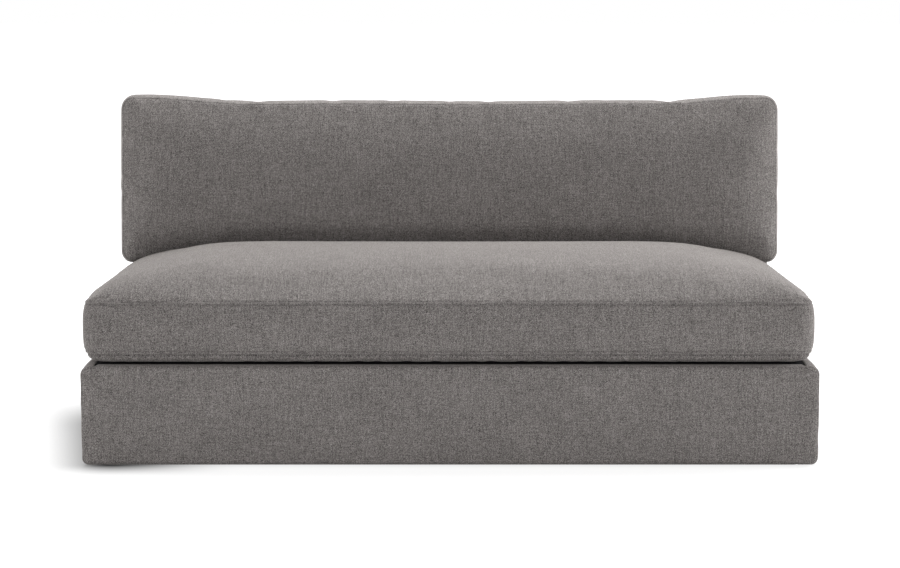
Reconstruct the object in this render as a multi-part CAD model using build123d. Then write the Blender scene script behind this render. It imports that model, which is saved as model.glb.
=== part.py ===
from build123d import *
import math
import os

# Armless sofa: a timber base and back frame with springs, padding and covers, a loose bench
# seat cushion and a loose back cushion. Millimetres. +Z is up, the front faces -Y, and the
# origin is on the floor under the middle.

# ---- outside sizes ----
WIDTH = 1829.0  # upholstered base, side to side
DEPTH = 1016.0  # front of the base to the outside back
BASE_HEIGHT = 250.0  # upholstered base, without its glides
GLIDE_HEIGHT = 6.0
BACK_TOP = 735.0  # top of the upholstered back frame above the floor
BACK_FOOT = 138.0  # thickness of the back frame where it leaves the deck
BACK_RAKE = 6.0  # lean of the inside back, in degrees

# ---- covers and padding ----
FABRIC = 2.0
BASE_PAD = 25.0  # foam on the faces of the base and the sides of the back
BACK_TOP_PAD = 20.0
INSIDE_BACK_PAD = 17.0
DECK_FOAM = 20.0
INSULATOR = 3.0  # felt between the springs and the deck foam
DUST_COVER = 1.0
BOARD = 5.0  # panel behind the outside back cover
TOP_EDGE_RADIUS = 24.0  # base side edges, top
BOTTOM_EDGE_RADIUS = 17.0  # base side edges, bottom
FACE_EDGE_RADIUS = 10.0  # roll round the front and rear faces of the base
BACK_EDGE_RADIUS = 12.0
FACE_SEAM = 6.5  # seam of the front panel, inside the outline
BACK_SEAM = 14.0  # seams of the back frame's covers, inside its outline
TOP_RETURN = 60.0  # side cover turned in on the deck
UNDERFOLD = 50.0  # covers turned in under the rails

# ---- timber ----
RAIL = 25.0  # thickness of rails and posts
STRETCHER_HEIGHT = 100.0
STRETCHER_X = 290.0
CORNER_BLOCK_LEG = 70.0
CORNER_BLOCK_HEIGHT = 50.0
CORNER_BLOCK_RAISE = 4.0
TOP_BOARD = 18.0
BACK_RAIL = 25.0  # thickness of the boards that span the back
UPPER_RAIL_HEIGHT = 80.0
LOWER_RAIL_HEIGHT = 70.0
LOWER_RAIL_RAISE = 6.0  # above the deck
CENTRE_POST_WIDTH = 60.0
SPLICE = 16.0
SPLICE_LENGTH = 120.0
SPLICE_HEIGHT = 110.0
SPLICE_RAISE = 62.0  # above the rail's underside

# ---- seat springs, their clips and ties ----
SPRING_COUNT = 14
SPRING_WIRE = 4.0
SPRING_WIDTH = 56.0
SPRING_PITCH = 47.0  # about, between neighbouring bars
CLIP_SHEET = 1.2
CLIP_WIDTH = 12.0
CLIP_TAB = 8.0
CLIP_PLAY = 0.2
TIE_WIRE = 3.0
TIE_COUNT = 2
TIE_SPACING = 300.0
CLIP_NAIL = 1.8
CLIP_NAIL_HEAD = 4.5
CLIP_NAIL_HEAD_THICKNESS = 0.8
CLIP_NAIL_LENGTH = 16.0

# ---- back webbing ----
WEBBING = 1.5
WEBBING_WIDTH = 50.0
ACROSS_COUNT = 3
ACROSS_PITCH = 105.0
UPRIGHT_COUNT = 11
UPRIGHT_PITCH = 158.0
WEBBING_TURN = 18.0  # how far a strap runs onto its post

# ---- frame bolts ----
BOLT = 8.0
BOLT_HEAD = 20.0
BOLT_HEAD_THICKNESS = 4.5
BOLT_SINK = 6.0
BOLT_TAIL = 3.0
WASHER_WIDTH = 20.0
WASHER = 1.6
NUT_WIDTH = 13.0
NUT = 6.5
BOLT_SPACING_Y = 70.0
BOLT_SPACING_Z = 60.0
BOLT_PLAY = 0.25
THREAD_PLAY = 0.05

# ---- glides ----
GLIDE_WIDTH = 28.0
GLIDE_CHAMFER = 1.5
GLIDE_END = 70.0  # outer glides, in from the ends of the rails
GLIDE_NAIL = 3.0
GLIDE_NAIL_HEAD = 6.0
GLIDE_NAIL_HEAD_THICKNESS = 1.4
GLIDE_NAIL_SINK = 1.0
GLIDE_NAIL_LENGTH = 26.0
NAIL_PLAY = 0.05

# ---- seat cushion ----
SEAT_WIDTH = 1816.0  # at the fullest part of the boxing
SEAT_FRONT_SETBACK = 4.0  # fullest part of its front behind the base's face
SEAT_REAR_GAP = 3.0  # fullest part of its rear ahead of the inside back
SEAT_LOW_SEAM = 279.0
SEAT_TOP_SEAM = 412.0
SEAT_BULGE = 11.0  # boxing beyond its seams
SEAT_CORNER = 45.0
SEAT_CORNER_SOFTENING = 0.3  # growth of the corner radius over the crown
SEAT_CROWN = 95.0
SEAT_CROWN_RUN = 440.0
SEAT_UNDER_RUN = 45.0
SEAT_WRAP = 20.0  # fibre over the foam

# ---- back cushion, along its own lean ----
BACK_PANEL_WIDTH = 1810.0  # front panel, seam to seam
BACK_PANEL_HEIGHT = 429.0  # front panel at mid width, seam to seam
BACK_EAR = 17.0  # its ends stand this much above its middle
BACK_BULGE = 18.0
BACK_CORNER = 25.0
BACK_CORNER_SOFTENING = 0.4
BACK_BOXING = 165.0
BACK_CROWN = 50.0
BACK_CROWN_RUN = 190.0
BACK_REAR_CROWN = 25.0
BACK_REAR_RUN = 90.0
BACK_PANEL_FOOT = 440.0  # height of the front panel's lower seam
BACK_REST = 427.0  # height of the seat cushion where it carries the back cushion
BACK_WRAP = 20.0
HOLLOW_GAP = 2.0  # back cushion to the front wall of the hollow that it has pressed in the seat

# ---- zips ----
ZIP_LENGTH = 1500.0
ZIP_TAPE = 1.0
ZIP_TAPE_WIDTH = 28.0
ZIP_TAPE_END = 10.0
ZIP_BEAD = 2.4  # thickness of the coil
ZIP_BEAD_WIDTH = 2.4
ZIP_SLOT = 1.6  # between the two coils
ZIP_MOUTH = 12.0  # slot in the cover
ZIP_SINK = 0.7  # tape behind the cover
SLIDER_LENGTH = 12.0
SLIDER_WIDTH = 10.0
SLIDER_PLATE = 1.2
SLIDER_NECK = 1.0
SLIDER_PLAY = 0.3
SLIDER_END = 2.0  # slider to the end of the cover's slot
BACK_ZIP_SETBACK = 100.0  # back cushion's zip ahead of its rear face

# ---- limits and clearances ----
CORNER_SHARE = 0.45  # largest corner radius of a cushion's outline, of the outline's height
CLEARANCE = 0.3  # between separate soft bodies
LAYER = 0.3  # between a cover, its wrap and its core
REACH = 50.0  # how far a cutting block runs past what it cuts

# ---- levels and planes that follow from those ----
HALF_WIDTH = WIDTH / 2
HALF_DEPTH = DEPTH / 2
BASE_BOTTOM = GLIDE_HEIGHT
BASE_TOP = BASE_BOTTOM + BASE_HEIGHT
RAKE = math.radians(BACK_RAKE)
RAIL_FOOT = BASE_BOTTOM + FABRIC
CLIP_BORE = SPRING_WIRE / 2 + CLIP_PLAY
CLIP_OUTER = CLIP_BORE + CLIP_SHEET
RAIL_TOP = BASE_TOP - FABRIC - DECK_FOAM - INSULATOR - 2 * CLIP_OUTER - CLIP_PLAY
INSULATOR_FOOT = BASE_TOP - FABRIC - DECK_FOAM - INSULATOR
WIRE_LEVEL = RAIL_TOP + CLIP_OUTER
RAIL_X = HALF_WIDTH - FABRIC - BASE_PAD  # outer faces of the side rails
RAIL_Y = HALF_DEPTH - FABRIC - BASE_PAD  # outer faces of the front and rear rails
INNER_X = RAIL_X - RAIL
INNER_Y = RAIL_Y - RAIL
CLIP_Y = INNER_Y + RAIL / 2  # end bars of the springs
POST_DEPTH_IN = FABRIC + INSIDE_BACK_PAD + 2 * WEBBING  # inside back to the posts
BOARD_FRONT = HALF_DEPTH - FABRIC - BOARD
TOP_BOARD_TOP = BACK_TOP - FABRIC - BACK_TOP_PAD
POST_TOP = TOP_BOARD_TOP - TOP_BOARD
LOWER_RAIL_FOOT = BASE_TOP + LOWER_RAIL_RAISE
LOWER_RAIL_TOP = LOWER_RAIL_FOOT + LOWER_RAIL_HEIGHT
UPPER_RAIL_FOOT = POST_TOP - UPPER_RAIL_HEIGHT
SLIDER_TRAVEL = ZIP_LENGTH - SLIDER_LENGTH - 2 * SLIDER_END


def inside_back(height, behind=0.0):
    """Y of the leaning inside back at a height, or of a plane that lies behind it."""
    face = HALF_DEPTH - BACK_FOOT + math.tan(RAKE) * (height - BASE_TOP)
    return face + behind / math.cos(RAKE)


POST_FRONT = inside_back(BASE_TOP, POST_DEPTH_IN)


# ---- plain solids ----
def block(x, y, z):
    """Box from three pairs of limits."""
    size = [high - low for low, high in (x, y, z)]
    centre = [(high + low) / 2 for low, high in (x, y, z)]
    return Pos(*centre) * Box(*size)


def prism(points, x):
    """Closed outline of (y, z) points, carried from one x to another."""
    outline = Polyline(*[(x[0], across, height) for across, height in points], close=True)
    return extrude(make_face(outline), amount=x[1] - x[0], dir=(1, 0, 0))


def raked_board(x, z, behind):
    """Board that leans with the back, between two depths behind the inside back."""
    low, high = z
    near, far = behind
    corners = [
        (inside_back(low, near), low),
        (inside_back(low, far), low),
        (inside_back(high, far), high),
        (inside_back(high, near), high),
    ]
    return prism(corners, x)


def upright_pin(radius, low, high):
    """Round pin along Z."""
    return Pos(0, 0, (low + high) / 2) * Cylinder(radius, high - low)


def cross_pin(radius, low, high):
    """Round pin along X."""
    return Pos((low + high) / 2, 0, 0) * Rot(0, 90, 0) * Cylinder(radius, high - low)


def both_sides(shape):
    """A shape and its mirror image across the middle of the sofa."""
    return [shape, mirror(shape, about=Plane.YZ)]


def cut(shape, tools):
    """Take each tool away from the shape."""
    for tool in tools:
        shape = shape - tool
    return shape


# ---- base frame ----
def spring_places():
    pitch = 2 * INNER_X / SPRING_COUNT
    return [(i - (SPRING_COUNT - 1) / 2) * pitch for i in range(SPRING_COUNT)]


def clip_nail_places():
    """Nails of the spring clips, at the outer part of each clip's tab."""
    outward = CLIP_Y + CLIP_OUTER + (CLIP_TAB - CLIP_OUTER) / 2
    return [(x, side * outward) for x in spring_places() for side in (-1, 1)]


def glide_places():
    xs = (-RAIL_X + GLIDE_END, -STRETCHER_X, STRETCHER_X, RAIL_X - GLIDE_END)
    return [(x, side * (INNER_Y + RAIL / 2)) for x in xs for side in (-1, 1)]


def clip_nail_holes(places):
    radius = CLIP_NAIL / 2 + NAIL_PLAY
    foot = RAIL_TOP - CLIP_NAIL_LENGTH
    return [Pos(x, y, 0) * upright_pin(radius, foot, RAIL_TOP + CLIP_SHEET + 1) for x, y in places]


def glide_nail_holes(places):
    radius = GLIDE_NAIL / 2 + NAIL_PLAY
    top = GLIDE_NAIL_SINK + GLIDE_NAIL_LENGTH + 1
    return [Pos(x, y, 0) * upright_pin(radius, 0, top) for x, y in places]


def long_rail(half_length, side):
    """Front or rear rail, bored for its spring clips and glides."""
    faces = sorted((side * INNER_Y, side * RAIL_Y))
    rail = block((-half_length, half_length), faces, (RAIL_FOOT, RAIL_TOP))
    clips = [place for place in clip_nail_places() if place[1] * side > 0]
    glides = [place for place in glide_places() if place[1] * side > 0]
    return cut(rail, clip_nail_holes(clips) + glide_nail_holes(glides))


def bolt_places():
    middle = RAIL_FOOT + SPLICE_RAISE + SPLICE_HEIGHT / 2
    return [
        (POST_FRONT + across * BOLT_SPACING_Y / 2, middle + up * BOLT_SPACING_Z / 2)
        for across in (-1, 1)
        for up in (-1, 1)
    ]


def bolt_holes():
    """Clearance holes with a sunk seat for each bolt head, on the right-hand side."""
    holes = []
    for y, z in bolt_places():
        shank = cross_pin(BOLT / 2 + BOLT_PLAY, INNER_X - SPLICE - 1, RAIL_X + 1)
        seat = cross_pin(BOLT_HEAD / 2 + 1, RAIL_X - BOLT_SINK, RAIL_X + 1)
        holes += [Pos(0, y, z) * shank, Pos(0, y, z) * seat]
    return holes


def side_rail():
    rail = block((INNER_X, RAIL_X), (-INNER_Y, POST_FRONT), (RAIL_FOOT, RAIL_TOP))
    return cut(rail, bolt_holes())


def back_post():
    """Post from the floor rail to the top board, stepped back above the base's rear pad."""
    corners = [
        (POST_FRONT, RAIL_FOOT),
        (RAIL_Y, RAIL_FOOT),
        (RAIL_Y, BASE_TOP - FABRIC),
        (BOARD_FRONT, BASE_TOP - FABRIC),
        (BOARD_FRONT, POST_TOP),
        (inside_back(POST_TOP, POST_DEPTH_IN), POST_TOP),
        (POST_FRONT, BASE_TOP),
    ]
    return cut(prism(corners, (INNER_X, RAIL_X)), bolt_holes())


def splice_plates():
    low = RAIL_FOOT + SPLICE_RAISE
    span = (POST_FRONT - SPLICE_LENGTH / 2, POST_FRONT + SPLICE_LENGTH / 2)
    plate = block((INNER_X - SPLICE, INNER_X), span, (low, low + SPLICE_HEIGHT))
    return both_sides(cut(plate, bolt_holes()))


def corner_blocks():
    """Triangular blocks glued into the four corners of the base."""
    low = RAIL_FOOT + CORNER_BLOCK_RAISE
    blocks = []
    for side in (-1, 1):
        corner = side * INNER_Y
        points = [
            (INNER_X, corner, low),
            (INNER_X - CORNER_BLOCK_LEG, corner, low),
            (INNER_X, corner - side * CORNER_BLOCK_LEG, low),
        ]
        face = make_face(Polyline(*points, close=True))
        blocks += both_sides(extrude(face, amount=CORNER_BLOCK_HEIGHT, dir=(0, 0, 1)))
    return blocks


def stretcher(x):
    return block(
        (x - RAIL / 2, x + RAIL / 2), (-INNER_Y, INNER_Y), (RAIL_FOOT, RAIL_FOOT + STRETCHER_HEIGHT)
    )


def frame_bolts():
    bolts = []
    seat = RAIL_X - BOLT_SINK
    tip = INNER_X - SPLICE - WASHER - NUT - BOLT_TAIL
    for y, z in bolt_places():
        bolt = cross_pin(BOLT / 2, tip, seat) + cross_pin(BOLT_HEAD / 2, seat, seat + BOLT_HEAD_THICKNESS)
        bolts += both_sides(Pos(0, y, z) * bolt)
    return bolts


def frame_washers():
    face = INNER_X - SPLICE
    washer = cross_pin(WASHER_WIDTH / 2, face - WASHER, face)
    washer = washer - cross_pin(BOLT / 2 + BOLT_PLAY, face - WASHER - 1, face + 1)
    return [each for y, z in bolt_places() for each in both_sides(Pos(0, y, z) * washer)]


def frame_nuts():
    face = INNER_X - SPLICE - WASHER
    corner_radius = NUT_WIDTH / math.sqrt(3)
    hexagon = Plane.YZ * RegularPolygon(corner_radius, 6)
    nut = Pos(face - NUT, 0, 0) * extrude(hexagon, amount=NUT, dir=(1, 0, 0))
    nut = nut - cross_pin(BOLT / 2 + THREAD_PLAY, face - NUT - 1, face + 1)
    return [each for y, z in bolt_places() for each in both_sides(Pos(0, y, z) * nut)]


# ---- seat springs ----
def zigzag_spring():
    """One flat zigzag wire, front to back: straight bars joined by half turns."""
    span = 2 * CLIP_Y
    turns = round(span / SPRING_PITCH)
    pitch = span / turns
    bend = pitch / 2
    bar = (SPRING_WIDTH - SPRING_WIRE) / 2 - bend
    path = []
    for i in range(turns + 1):
        y = -CLIP_Y + i * pitch
        way = 1 if i % 2 == 0 else -1
        path.append(Line((-way * bar, y, WIRE_LEVEL), (way * bar, y, WIRE_LEVEL)))
        if i < turns:
            turn = (way * (bar + bend), y + bend, WIRE_LEVEL)
            path.append(ThreePointArc((way * bar, y, WIRE_LEVEL), turn, (way * bar, y + pitch, WIRE_LEVEL)))
    start = Plane(origin=(-bar, -CLIP_Y, WIRE_LEVEL), z_dir=(1, 0, 0))
    return sweep(start * Circle(SPRING_WIRE / 2), path=Wire(path))


def seat_springs():
    spring = zigzag_spring()
    return [Pos(x, 0, 0) * spring for x in spring_places()]


def spring_clips():
    """Sheet clips rolled round the end bars, with a tab nailed outwards to the rail."""
    clips = []
    for side in (-1, 1):
        roll = Plane.YZ * Circle(CLIP_OUTER)
        ends = sorted((0, side * (CLIP_OUTER + CLIP_TAB)))
        tab = Plane.YZ * Pos(sum(ends) / 2, CLIP_SHEET / 2 - CLIP_OUTER) * Rectangle(ends[1] - ends[0], CLIP_SHEET)
        bore = Plane.YZ * Circle(CLIP_BORE)
        clip = Pos(-CLIP_WIDTH / 2, 0, 0) * extrude(roll + tab - bore, amount=CLIP_WIDTH, dir=(1, 0, 0))
        clips += [Pos(x, side * CLIP_Y, WIRE_LEVEL) * clip for x in spring_places()]
    holes = clip_nail_holes(clip_nail_places())
    holes.sort(key=lambda hole: (hole.center().Y > 0, hole.center().X))
    return [clip - hole for clip, hole in zip(clips, holes)]


def clip_nails():
    tab_top = RAIL_TOP + CLIP_SHEET
    shank = upright_pin(CLIP_NAIL / 2, tab_top - CLIP_NAIL_LENGTH, tab_top)
    head = upright_pin(CLIP_NAIL_HEAD / 2, tab_top, tab_top + CLIP_NAIL_HEAD_THICKNESS)
    return [Pos(x, y, 0) * (shank + head) for x, y in clip_nail_places()]


def tie_wires():
    """Straight wires across all the springs, tied against their undersides."""
    level = WIRE_LEVEL - SPRING_WIRE / 2 - TIE_WIRE / 2 - NAIL_PLAY
    wire = cross_pin(TIE_WIRE / 2, -INNER_X, INNER_X)
    places = [(i - (TIE_COUNT - 1) / 2) * TIE_SPACING for i in range(TIE_COUNT)]
    return [Pos(0, y, level) * wire for y in places]


# ---- back frame ----
def back_boards():
    span = (-INNER_X, INNER_X)
    depth = (POST_DEPTH_IN, POST_DEPTH_IN + BACK_RAIL)
    top_corners = [
        (inside_back(POST_TOP, POST_DEPTH_IN), POST_TOP),
        (BOARD_FRONT, POST_TOP),
        (BOARD_FRONT, TOP_BOARD_TOP),
        (inside_back(TOP_BOARD_TOP, POST_DEPTH_IN), TOP_BOARD_TOP),
    ]
    half = CENTRE_POST_WIDTH / 2
    return {
        "back_top_board": prism(top_corners, (-RAIL_X, RAIL_X)),
        "back_upper_rail": raked_board(span, (UPPER_RAIL_FOOT, POST_TOP), depth),
        "back_lower_rail": raked_board(span, (LOWER_RAIL_FOOT, LOWER_RAIL_TOP), depth),
        "back_centre_post": raked_board((-half, half), (LOWER_RAIL_TOP, UPPER_RAIL_FOOT), depth),
    }


def webbing_across():
    """Straps from post to post, on the front edges of the posts."""
    middle = (LOWER_RAIL_TOP + UPPER_RAIL_FOOT) / 2
    reach = INNER_X + WEBBING_TURN
    straps = []
    for i in range(ACROSS_COUNT):
        height = middle + (i - (ACROSS_COUNT - 1) / 2) * ACROSS_PITCH
        limits = (height - WEBBING_WIDTH / 2, height + WEBBING_WIDTH / 2)
        straps.append(raked_board((-reach, reach), limits, (POST_DEPTH_IN - WEBBING, POST_DEPTH_IN)))
    return straps


def webbing_upright():
    """Straps from the lower rail to the upper rail, in front of those across."""
    limits = (LOWER_RAIL_TOP - WEBBING_WIDTH, UPPER_RAIL_FOOT + WEBBING_WIDTH)
    depth = (POST_DEPTH_IN - 2 * WEBBING, POST_DEPTH_IN - WEBBING)
    straps = []
    for i in range(UPRIGHT_COUNT):
        x = (i - (UPRIGHT_COUNT - 1) / 2) * UPRIGHT_PITCH
        straps.append(raked_board((x - WEBBING_WIDTH / 2, x + WEBBING_WIDTH / 2), limits, depth))
    return straps


# ---- base padding and covers ----
def base_outline(inset):
    """Face of the base seen from the front, drawn in by an inset, with rounded corners."""
    width = 2 * (HALF_WIDTH - inset)
    height = BASE_HEIGHT - 2 * inset
    face = Plane.XZ * Rectangle(width, height)
    face = fillet(face.vertices().group_by(Axis.Z)[-1], TOP_EDGE_RADIUS - inset)
    face = fillet(face.vertices().group_by(Axis.Z)[0], BOTTOM_EDGE_RADIUS - inset)
    return Pos(0, 0, BASE_BOTTOM + BASE_HEIGHT / 2) * face


def base_form(inset):
    """The base as upholstered, drawn in by an inset, with its front and rear rolled over."""
    form = extrude(base_outline(inset), amount=HALF_DEPTH - inset, both=True)
    faces = form.faces().sort_by(Axis.Y)
    return fillet(faces[0].edges() + faces[-1].edges(), FACE_EDGE_RADIUS - inset)


def face_panel(side):
    """Space of the front or rear panel, inside its seam."""
    depth = HALF_DEPTH - FACE_EDGE_RADIUS / 2
    prism_form = extrude(base_outline(FACE_SEAM), amount=HALF_DEPTH + REACH, both=True)
    limits = sorted((side * depth, side * (HALF_DEPTH + REACH)))
    return prism_form & block((-WIDTH, WIDTH), limits, (0, BASE_TOP + REACH))


def base_pads():
    form = base_form(FABRIC)
    whole = (0, BASE_TOP + REACH)
    wide = (-WIDTH, WIDTH)
    side = form & block((RAIL_X, WIDTH), (-RAIL_Y, RAIL_Y), whole)
    left, right = mirror(side, about=Plane.YZ), side
    return {
        "base_front_pad": form & block(wide, (-DEPTH, -RAIL_Y), whole),
        "base_rear_pad": form & block(wide, (RAIL_Y, DEPTH), whole),
        "base_left_pad": left,
        "base_right_pad": right,
    }


def base_covers():
    """Fabric of the base: front and rear panels, side wraps, deck cover and front and rear hems."""
    skin = base_form(0) - base_form(FABRIC)
    front, rear = face_panel(-1), face_panel(1)
    wrap = skin - front - rear
    middle = (BASE_BOTTOM + BASE_TOP) / 2
    upper, lower = (middle, BASE_TOP + REACH), (0, middle)
    deep = (-DEPTH, DEPTH)
    under_back = block((-WIDTH, WIDTH), (inside_back(BASE_TOP), DEPTH), (BASE_TOP - FABRIC, BASE_TOP + REACH))
    side_space = block((HALF_WIDTH - TOP_RETURN, WIDTH), deep, upper)
    side_space = side_space + block((HALF_WIDTH - UNDERFOLD, WIDTH), deep, lower)
    side = (wrap & side_space) - under_back
    deck_half = HALF_WIDTH - TOP_RETURN
    deck_space = block((-deck_half, deck_half), (-DEPTH, inside_back(BASE_TOP)), upper)
    rear_edge = block((-deck_half, deck_half), (HALF_DEPTH - FACE_EDGE_RADIUS, DEPTH), upper)
    fold_half = HALF_WIDTH - UNDERFOLD
    front_fold = block((-fold_half, fold_half), (-DEPTH, -HALF_DEPTH + UNDERFOLD), lower)
    rear_fold = block((-fold_half, fold_half), (HALF_DEPTH - UNDERFOLD, DEPTH), lower)
    holes = glide_nail_holes(glide_places())
    return {
        "base_front_cover": skin & front,
        "base_rear_cover": [skin & rear, wrap & rear_edge],
        "base_left_cover": mirror(side, about=Plane.YZ),
        "base_right_cover": side,
        "deck_cover": wrap & deck_space,
        "base_hems": [cut(wrap & front_fold, holes), cut(wrap & rear_fold, holes)],
    }


def deck_layer(low, high):
    """Sheet on the springs, between the side pads, the front pad and the inside back."""
    return block((-RAIL_X, RAIL_X), (-RAIL_Y, inside_back(low)), (low, high))


def dust_cover():
    half_x = HALF_WIDTH - UNDERFOLD - LAYER
    half_y = HALF_DEPTH - UNDERFOLD - LAYER
    return block((-half_x, half_x), (-half_y, half_y), (RAIL_FOOT - DUST_COVER, RAIL_FOOT))


# ---- back frame padding and covers ----
def back_form(inset, foot=BASE_TOP):
    """The back frame as upholstered, drawn in by an inset, with its upright and top edges rolled."""
    top = BACK_TOP - inset
    corners = [
        (inside_back(foot, inset), foot),
        (HALF_DEPTH - inset, foot),
        (HALF_DEPTH - inset, top),
        (inside_back(top, inset), top),
    ]
    half = HALF_WIDTH - inset
    form = prism(corners, (-half, half))
    bottom_edges = form.faces().sort_by(Axis.Z)[0].edges()
    rolled = [edge for edge in form.edges() if edge not in bottom_edges]
    return fillet(rolled, BACK_EDGE_RADIUS - inset)


def behind_plane(depth):
    """All the space behind a plane parallel to the inside back."""
    low, high = BASE_TOP - REACH, BACK_TOP + REACH
    corners = [
        (inside_back(low, depth), low),
        (DEPTH, low),
        (DEPTH, high),
        (inside_back(high, depth), high),
    ]
    return prism(corners, (-WIDTH, WIDTH))


def back_pads():
    form = back_form(FABRIC)
    whole = (0, BACK_TOP + REACH)
    middle = block((-RAIL_X, RAIL_X), (0, DEPTH), whole)
    behind_pad = behind_plane(FABRIC + INSIDE_BACK_PAD)
    side = form & block((RAIL_X, WIDTH), (0, DEPTH), whole)
    above = block((-RAIL_X, RAIL_X), (0, DEPTH), (TOP_BOARD_TOP, BACK_TOP))
    return {
        "inside_back_pad": (form & middle) - behind_pad,
        "back_top_pad": form & above & behind_pad,
        "back_left_pad": mirror(side, about=Plane.YZ),
        "back_right_pad": side,
    }


def outside_back_board():
    return block((-RAIL_X, RAIL_X), (BOARD_FRONT, BOARD_FRONT + BOARD), (BASE_TOP, TOP_BOARD_TOP))


def back_covers():
    """Fabric of the back frame, cut into inside, outside, top and side panels at its seams."""
    skin = back_form(0) - back_form(FABRIC, BASE_TOP - REACH)
    skin = skin & block((-WIDTH, WIDTH), (0, DEPTH), (BASE_TOP, BACK_TOP + REACH))
    seam_x = HALF_WIDTH - BACK_SEAM
    side = skin & block((seam_x, WIDTH), (0, DEPTH), (0, BACK_TOP + REACH))
    middle = skin & block((-seam_x, seam_x), (0, DEPTH), (0, BACK_TOP + REACH))
    behind_seam = behind_plane(BACK_SEAM)
    outside = block((-WIDTH, WIDTH), (HALF_DEPTH - BACK_SEAM, DEPTH), (0, BACK_TOP + REACH))
    return {
        "inside_back_cover": middle - behind_seam,
        "outside_back_cover": middle & outside,
        "back_top_cover": (middle & behind_seam) - outside,
        "back_left_cover": mirror(side, about=Plane.YZ),
        "back_right_cover": side,
    }


# ---- glides ----
def glides():
    disc = upright_pin(GLIDE_WIDTH / 2, 0, GLIDE_HEIGHT)
    disc = chamfer(disc.edges().sort_by(Axis.Z)[0], GLIDE_CHAMFER)
    disc = disc - upright_pin(GLIDE_NAIL / 2 + NAIL_PLAY, -1, GLIDE_HEIGHT + 1)
    pocket = GLIDE_NAIL_SINK + GLIDE_NAIL_HEAD_THICKNESS
    disc = disc - upright_pin(GLIDE_NAIL_HEAD / 2 + NAIL_PLAY, -1, pocket)
    return [Pos(x, y, 0) * disc for x, y in glide_places()]


def glide_nails():
    neck = GLIDE_NAIL_SINK + GLIDE_NAIL_HEAD_THICKNESS
    nail = upright_pin(GLIDE_NAIL_HEAD / 2, GLIDE_NAIL_SINK, neck)
    nail = nail + upright_pin(GLIDE_NAIL / 2, neck, GLIDE_NAIL_SINK + GLIDE_NAIL_LENGTH)
    return [Pos(x, y, 0) * nail for x, y in glide_places()]


# ---- cushions ----
def rise(distance, crown, run):
    """Height of a crown at a distance in from its seam: steep at the seam, level at the run."""
    return crown * (1 - (1 - distance / run) ** 3)


def crowned(outline, seam, crest, run, shares):
    """Crown as a loft of outlines that draw in from the seam's level towards the crest's."""
    rings = [outline(0, seam)]
    for share in shares:
        rings.append(outline(share * run, seam + rise(share * run, crest - seam, run)))
    return loft(rings)


def boxing(outline, low_seam, top_seam, bulge):
    """Side band of a box cushion, fullest half way between its seams."""
    middle = (low_seam + top_seam) / 2
    return loft([outline(0, low_seam), outline(-bulge, middle), outline(0, top_seam)])


SEAT_REAR = inside_back((SEAT_LOW_SEAM + SEAT_TOP_SEAM) / 2) - SEAT_REAR_GAP
SEAT_FRONT = -HALF_DEPTH + SEAT_FRONT_SETBACK
SEAT_MIDDLE = (SEAT_FRONT + SEAT_REAR) / 2
SEAT_HALF_X = SEAT_WIDTH / 2 - SEAT_BULGE
SEAT_HALF_Y = (SEAT_REAR - SEAT_FRONT) / 2 - SEAT_BULGE
SEAT_CREST = SEAT_TOP_SEAM + SEAT_CROWN
BACK_FRONT_SEAM = BACK_REAR_CROWN + BACK_BOXING  # ahead of the cushion's rear face
BACK_FRONT = BACK_FRONT_SEAM + BACK_CROWN
BACK_ORIGIN_Z = BACK_PANEL_FOOT - BACK_FRONT_SEAM * math.sin(RAKE)
BACK_ORIGIN_Y = inside_back(BACK_ORIGIN_Z) - CLEARANCE
BACK_PLANE = Plane(
    origin=(0, BACK_ORIGIN_Y, BACK_ORIGIN_Z), x_dir=(1, 0, 0), z_dir=(0, -math.cos(RAKE), math.sin(RAKE))
)
# wall of the seat cushion's hollow, just ahead of the back cushion where the crest meets it
HOLLOW_UP = (SEAT_CREST - BACK_PANEL_FOOT) / math.cos(RAKE)
HOLLOW_OUT = BACK_FRONT_SEAM + rise(min(HOLLOW_UP, BACK_CROWN_RUN), BACK_CROWN, BACK_CROWN_RUN)
HOLLOW_FRONT = BACK_ORIGIN_Y + HOLLOW_UP * math.sin(RAKE) - HOLLOW_OUT * math.cos(RAKE) - HOLLOW_GAP


def seat_form(inset):
    """The seat cushion drawn in by an inset, hollowed at the rear under the back cushion."""
    seam_shift = 0.4 * inset

    def outline(shrink, level):
        half_x = SEAT_HALF_X - inset - shrink
        half_y = SEAT_HALF_Y - inset - shrink
        corner = SEAT_CORNER - inset + (SEAT_CORNER_SOFTENING if shrink > 0 else -1) * shrink
        corner = min(corner, 2 * CORNER_SHARE * half_y)
        return Pos(0, SEAT_MIDDLE, level) * RectangleRounded(2 * half_x, 2 * half_y, corner)

    low, high = SEAT_LOW_SEAM + seam_shift, SEAT_TOP_SEAM - seam_shift
    form = boxing(outline, low, high, SEAT_BULGE)
    form = form + crowned(outline, high, SEAT_CREST - inset, SEAT_CROWN_RUN, (0.08, 0.2, 0.4, 0.68))
    form = form + crowned(outline, low, BASE_TOP + CLEARANCE + inset, SEAT_UNDER_RUN, (0.3, 0.65, 1.0))
    hollow = block((-WIDTH, WIDTH), (HOLLOW_FRONT - inset, DEPTH), (BACK_REST - inset, BACK_TOP))
    return form - hollow


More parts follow.
